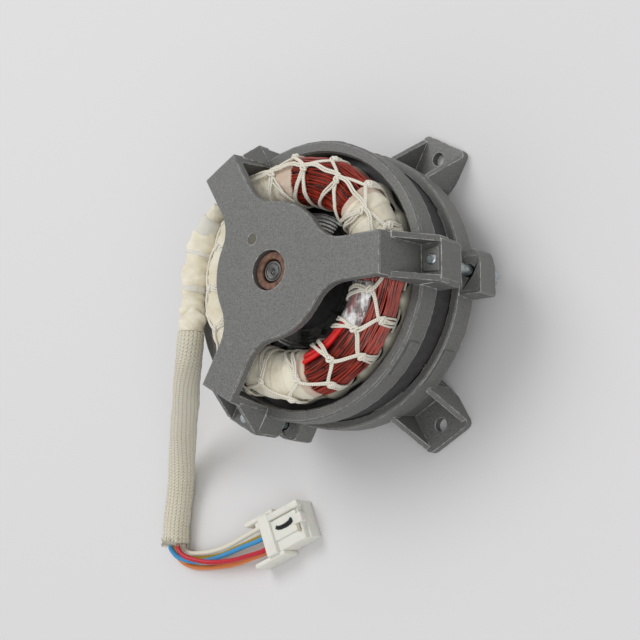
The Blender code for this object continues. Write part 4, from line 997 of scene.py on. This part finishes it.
@operator("Connector")
def connector(sizes, colours):
    """Nylon connector and its terminals."""
    nylon = nylon_finish("nylon", colours.nylon[:], 0.35 * MM)
    back, front = CONNECTOR_BACK, CONNECTOR_FRONT
    shell = (
        (back, front - 1.2, -9.5, 9.5, 0.0, 10.6), (back, back + 6.5, -10.1, 10.1, 0.0, 13.0),
        (back + 6.1, front - 2.4, -4.4, 5.8, 9.0, 11.6), (back + 6.1, front + 0.8, 6.1, 9.4, 9.0, 12.9),
        (front - 5.0, front + 0.6, -1.6, 3.4, 8.0, 12.4), (front - 2.0, front, -9.5, 9.5, 0.0, 7.6),
        (back - 8.0, back + 1.0, -9.5, 9.5, 0.0, 1.6), (back - 4.0, back + 0.8, 5.6, 9.5, 0.0, 10.4),
        (back - 3.0, back + 0.8, -9.5, -7.0, 0.0, 8.0), (back - 10.0, back + 9.0, 9.5, 11.8, 0.0, 11.0),
        (back - 10.0, back + 9.0, -11.8, -9.5, 0.0, 11.0))
    housing = skin("connector_housing_finish", rounded_blocks(shell, 0.55, connector_points), nylon)
    dress(housing, slot_of("connector_housing"), "connector_housing", body=body_of("connector_housing"))
    tan = plastic_finish("slot shade", (0.50, 0.45, 0.33), 0.5)
    slot = rounded_blocks(((6.9, 8.7, -5.2, -1.4, 10.9, 11.7),), 0.3, connector_points)
    dress(skin("connector_slot", slot, tan), "nylon", body=body_of("connector_housing"))
    # A near-black stroke on the connector's top: painted shadow in the latch's slot
    dark = plastic_finish("painted slot shadow", (0.012, 0.012, 0.016), 0.5)
    along = np.linspace(0, 1, 30)
    mark = [np.interp(along, (0, 0.16, 0.36, 0.6, 0.85, 1), line) for line in
            ((-4.9, -3.9, -1.8, 1.0, 4.0, 5.6), (2.0, 1.1, 0.6, 0.5, 0.9, 2.1))]
    path = connector_points(np.stack([*mark, np.full(30, 11.5)], -1))
    roll = circle(10)[None, :]
    flat = oval(roll, 0.2, 1.0 + 0.4 * along[:, None]) * MM
    dress(skin("connector_slot_shadow", tube(path, flat, 10), dark), "nylon", body=body_of("connector_housing"))
    tin = turned_steel_finish("tinned terminal", (0.62, 0.58, 0.48), 0.0007, 0.3)
    for colour in LEAD_ROUTES:
        smooth_copy(f"terminal_{colour}", tin)


@operator("Leads")
def leads(sizes, colours):
    """Five insulated leads from the sleeve to the connector."""
    gauge = sizes.lead_gauge
    for colour, (v, w, points) in LEAD_ROUTES.items():
        entry = connector_points([(CONNECTOR_BACK - 6, v, w), (CONNECTOR_BACK - 1, v, w),
                                  (CONNECTOR_BACK + 3.7, v, w)]) / MM
        path = route(list(points) + entry.tolist(), 0.9 * MM)
        cover = plastic_finish(f"{colour} lead", LEAD_COLOURS[colour], 0.36, 0.1)
        piece = dress(skin(f"lead_{colour}_cover", tube(path, gauge / 2, 16), cover),
                      f"{colour}_wire", f"lead_{colour}")


def ground_finish(name, colour):
    """Pale ground, seen only from above so that the shaft's end shows from below."""
    f = Finish(name, Base_Color=colour, Roughness=0.9)
    below = f.add("ShaderNodeNewGeometry").outputs["Backfacing"]
    clear = f.add("ShaderNodeBsdfTransparent").outputs[0]
    blend = f.add("ShaderNodeMixShader", {0: below, 1: f.shader.outputs[0], 2: clear})
    f.tree.links.new(blend.outputs[0], f.tree.nodes["Material Output"].inputs["Surface"])
    return f.material


@operator("Stage")
def stage(sizes, colours):
    """Pale ground, soft lamps, even world light and the camera."""
    scene = bpy.context.scene
    x, y = np.meshgrid((-3.0, 3.0), (-3.0, 3.0), indexing="ij")
    points = np.stack([x, y, np.full_like(x, -0.0001)], -1)
    ground = skin("ground", points[::-1], ground_finish("pale ground", colours.ground[:]),
                  closed_around=False)
    if ground.data.polygons[0].normal.z < 0:
        ground.data.flip_normals()
    world = bpy.data.worlds.new("even light")
    world.use_nodes = True
    world.node_tree.nodes["Background"].inputs["Color"].default_value = (1.0, 1.0, 1.0, 1.0)
    world.node_tree.nodes["Background"].inputs["Strength"].default_value = 0.56
    scene.world = world
    lamps = (("key", (-0.55, 0.75, 1.5), 1.1, 11.5), ("fill", (0.9, -0.6, 1.2), 1.2, 5.0))
    for name, place, size, power in lamps:
        lamp = bpy.data.lights.new(name, 'AREA')
        lamp.shape, lamp.size, lamp.energy = 'DISK', size, power
        item = bpy.data.objects.new(name, lamp)
        item.location = place
        aim = Vector((0, 0, 0.04)) - item.location
        item.rotation_euler = aim.to_track_quat('-Z', 'Y').to_euler()
        scene.collection.objects.link(item)
    camera = bpy.data.objects.new("camera", bpy.data.cameras.new("camera"))
    camera.data.lens, camera.data.sensor_width = 90.98, 36.0
    camera.data.clip_start = 0.02
    right, up, back = (0.7866, 0.0043, -0.6174), (0.1134, 0.982, 0.1512), (0.607, -0.1889, 0.7719)
    place = (0.4451, -0.1552, 0.6135)
    camera.matrix_world = Matrix((*zip(right, up, back, place), (0, 0, 0, 1)))
    scene.collection.objects.link(camera)
    scene.camera = camera
    scene.view_settings.view_transform = 'Standard'


class MOTOR_PT_finish(bpy.types.Panel):
    """Sizes, colours and pieces of the motor"""
    bl_label = "Fan motor"
    bl_idname = "MOTOR_PT_finish"
    bl_space_type = 'VIEW_3D'
    bl_region_type = 'UI'
    bl_category = "Motor"

    def draw(self, context):
        for group in (context.scene.motor_sizes, context.scene.motor_colours):
            for name in group.__annotations__:
                self.layout.prop(group, name)
        for step in OPERATORS:
            self.layout.operator(step.bl_idname)


CLASSES = (MotorSizes, MotorColours, *OPERATORS, MOTOR_PT_finish)


def register():
    for cls in CLASSES:
        bpy.utils.register_class(cls)
    bpy.types.Scene.motor_sizes = PointerProperty(type=MotorSizes)
    bpy.types.Scene.motor_colours = PointerProperty(type=MotorColours)


def unregister():
    del bpy.types.Scene.motor_colours
    del bpy.types.Scene.motor_sizes
    for cls in reversed(CLASSES):
        bpy.utils.unregister_class(cls)


def main():
    """Make every piece in order and note the solids' box and the finished model's box."""
    register()
    for step in OPERATORS:
        group, name = step.bl_idname.split(".")
        getattr(getattr(bpy.ops, group), name)()


if __name__ == "__main__":
    main()
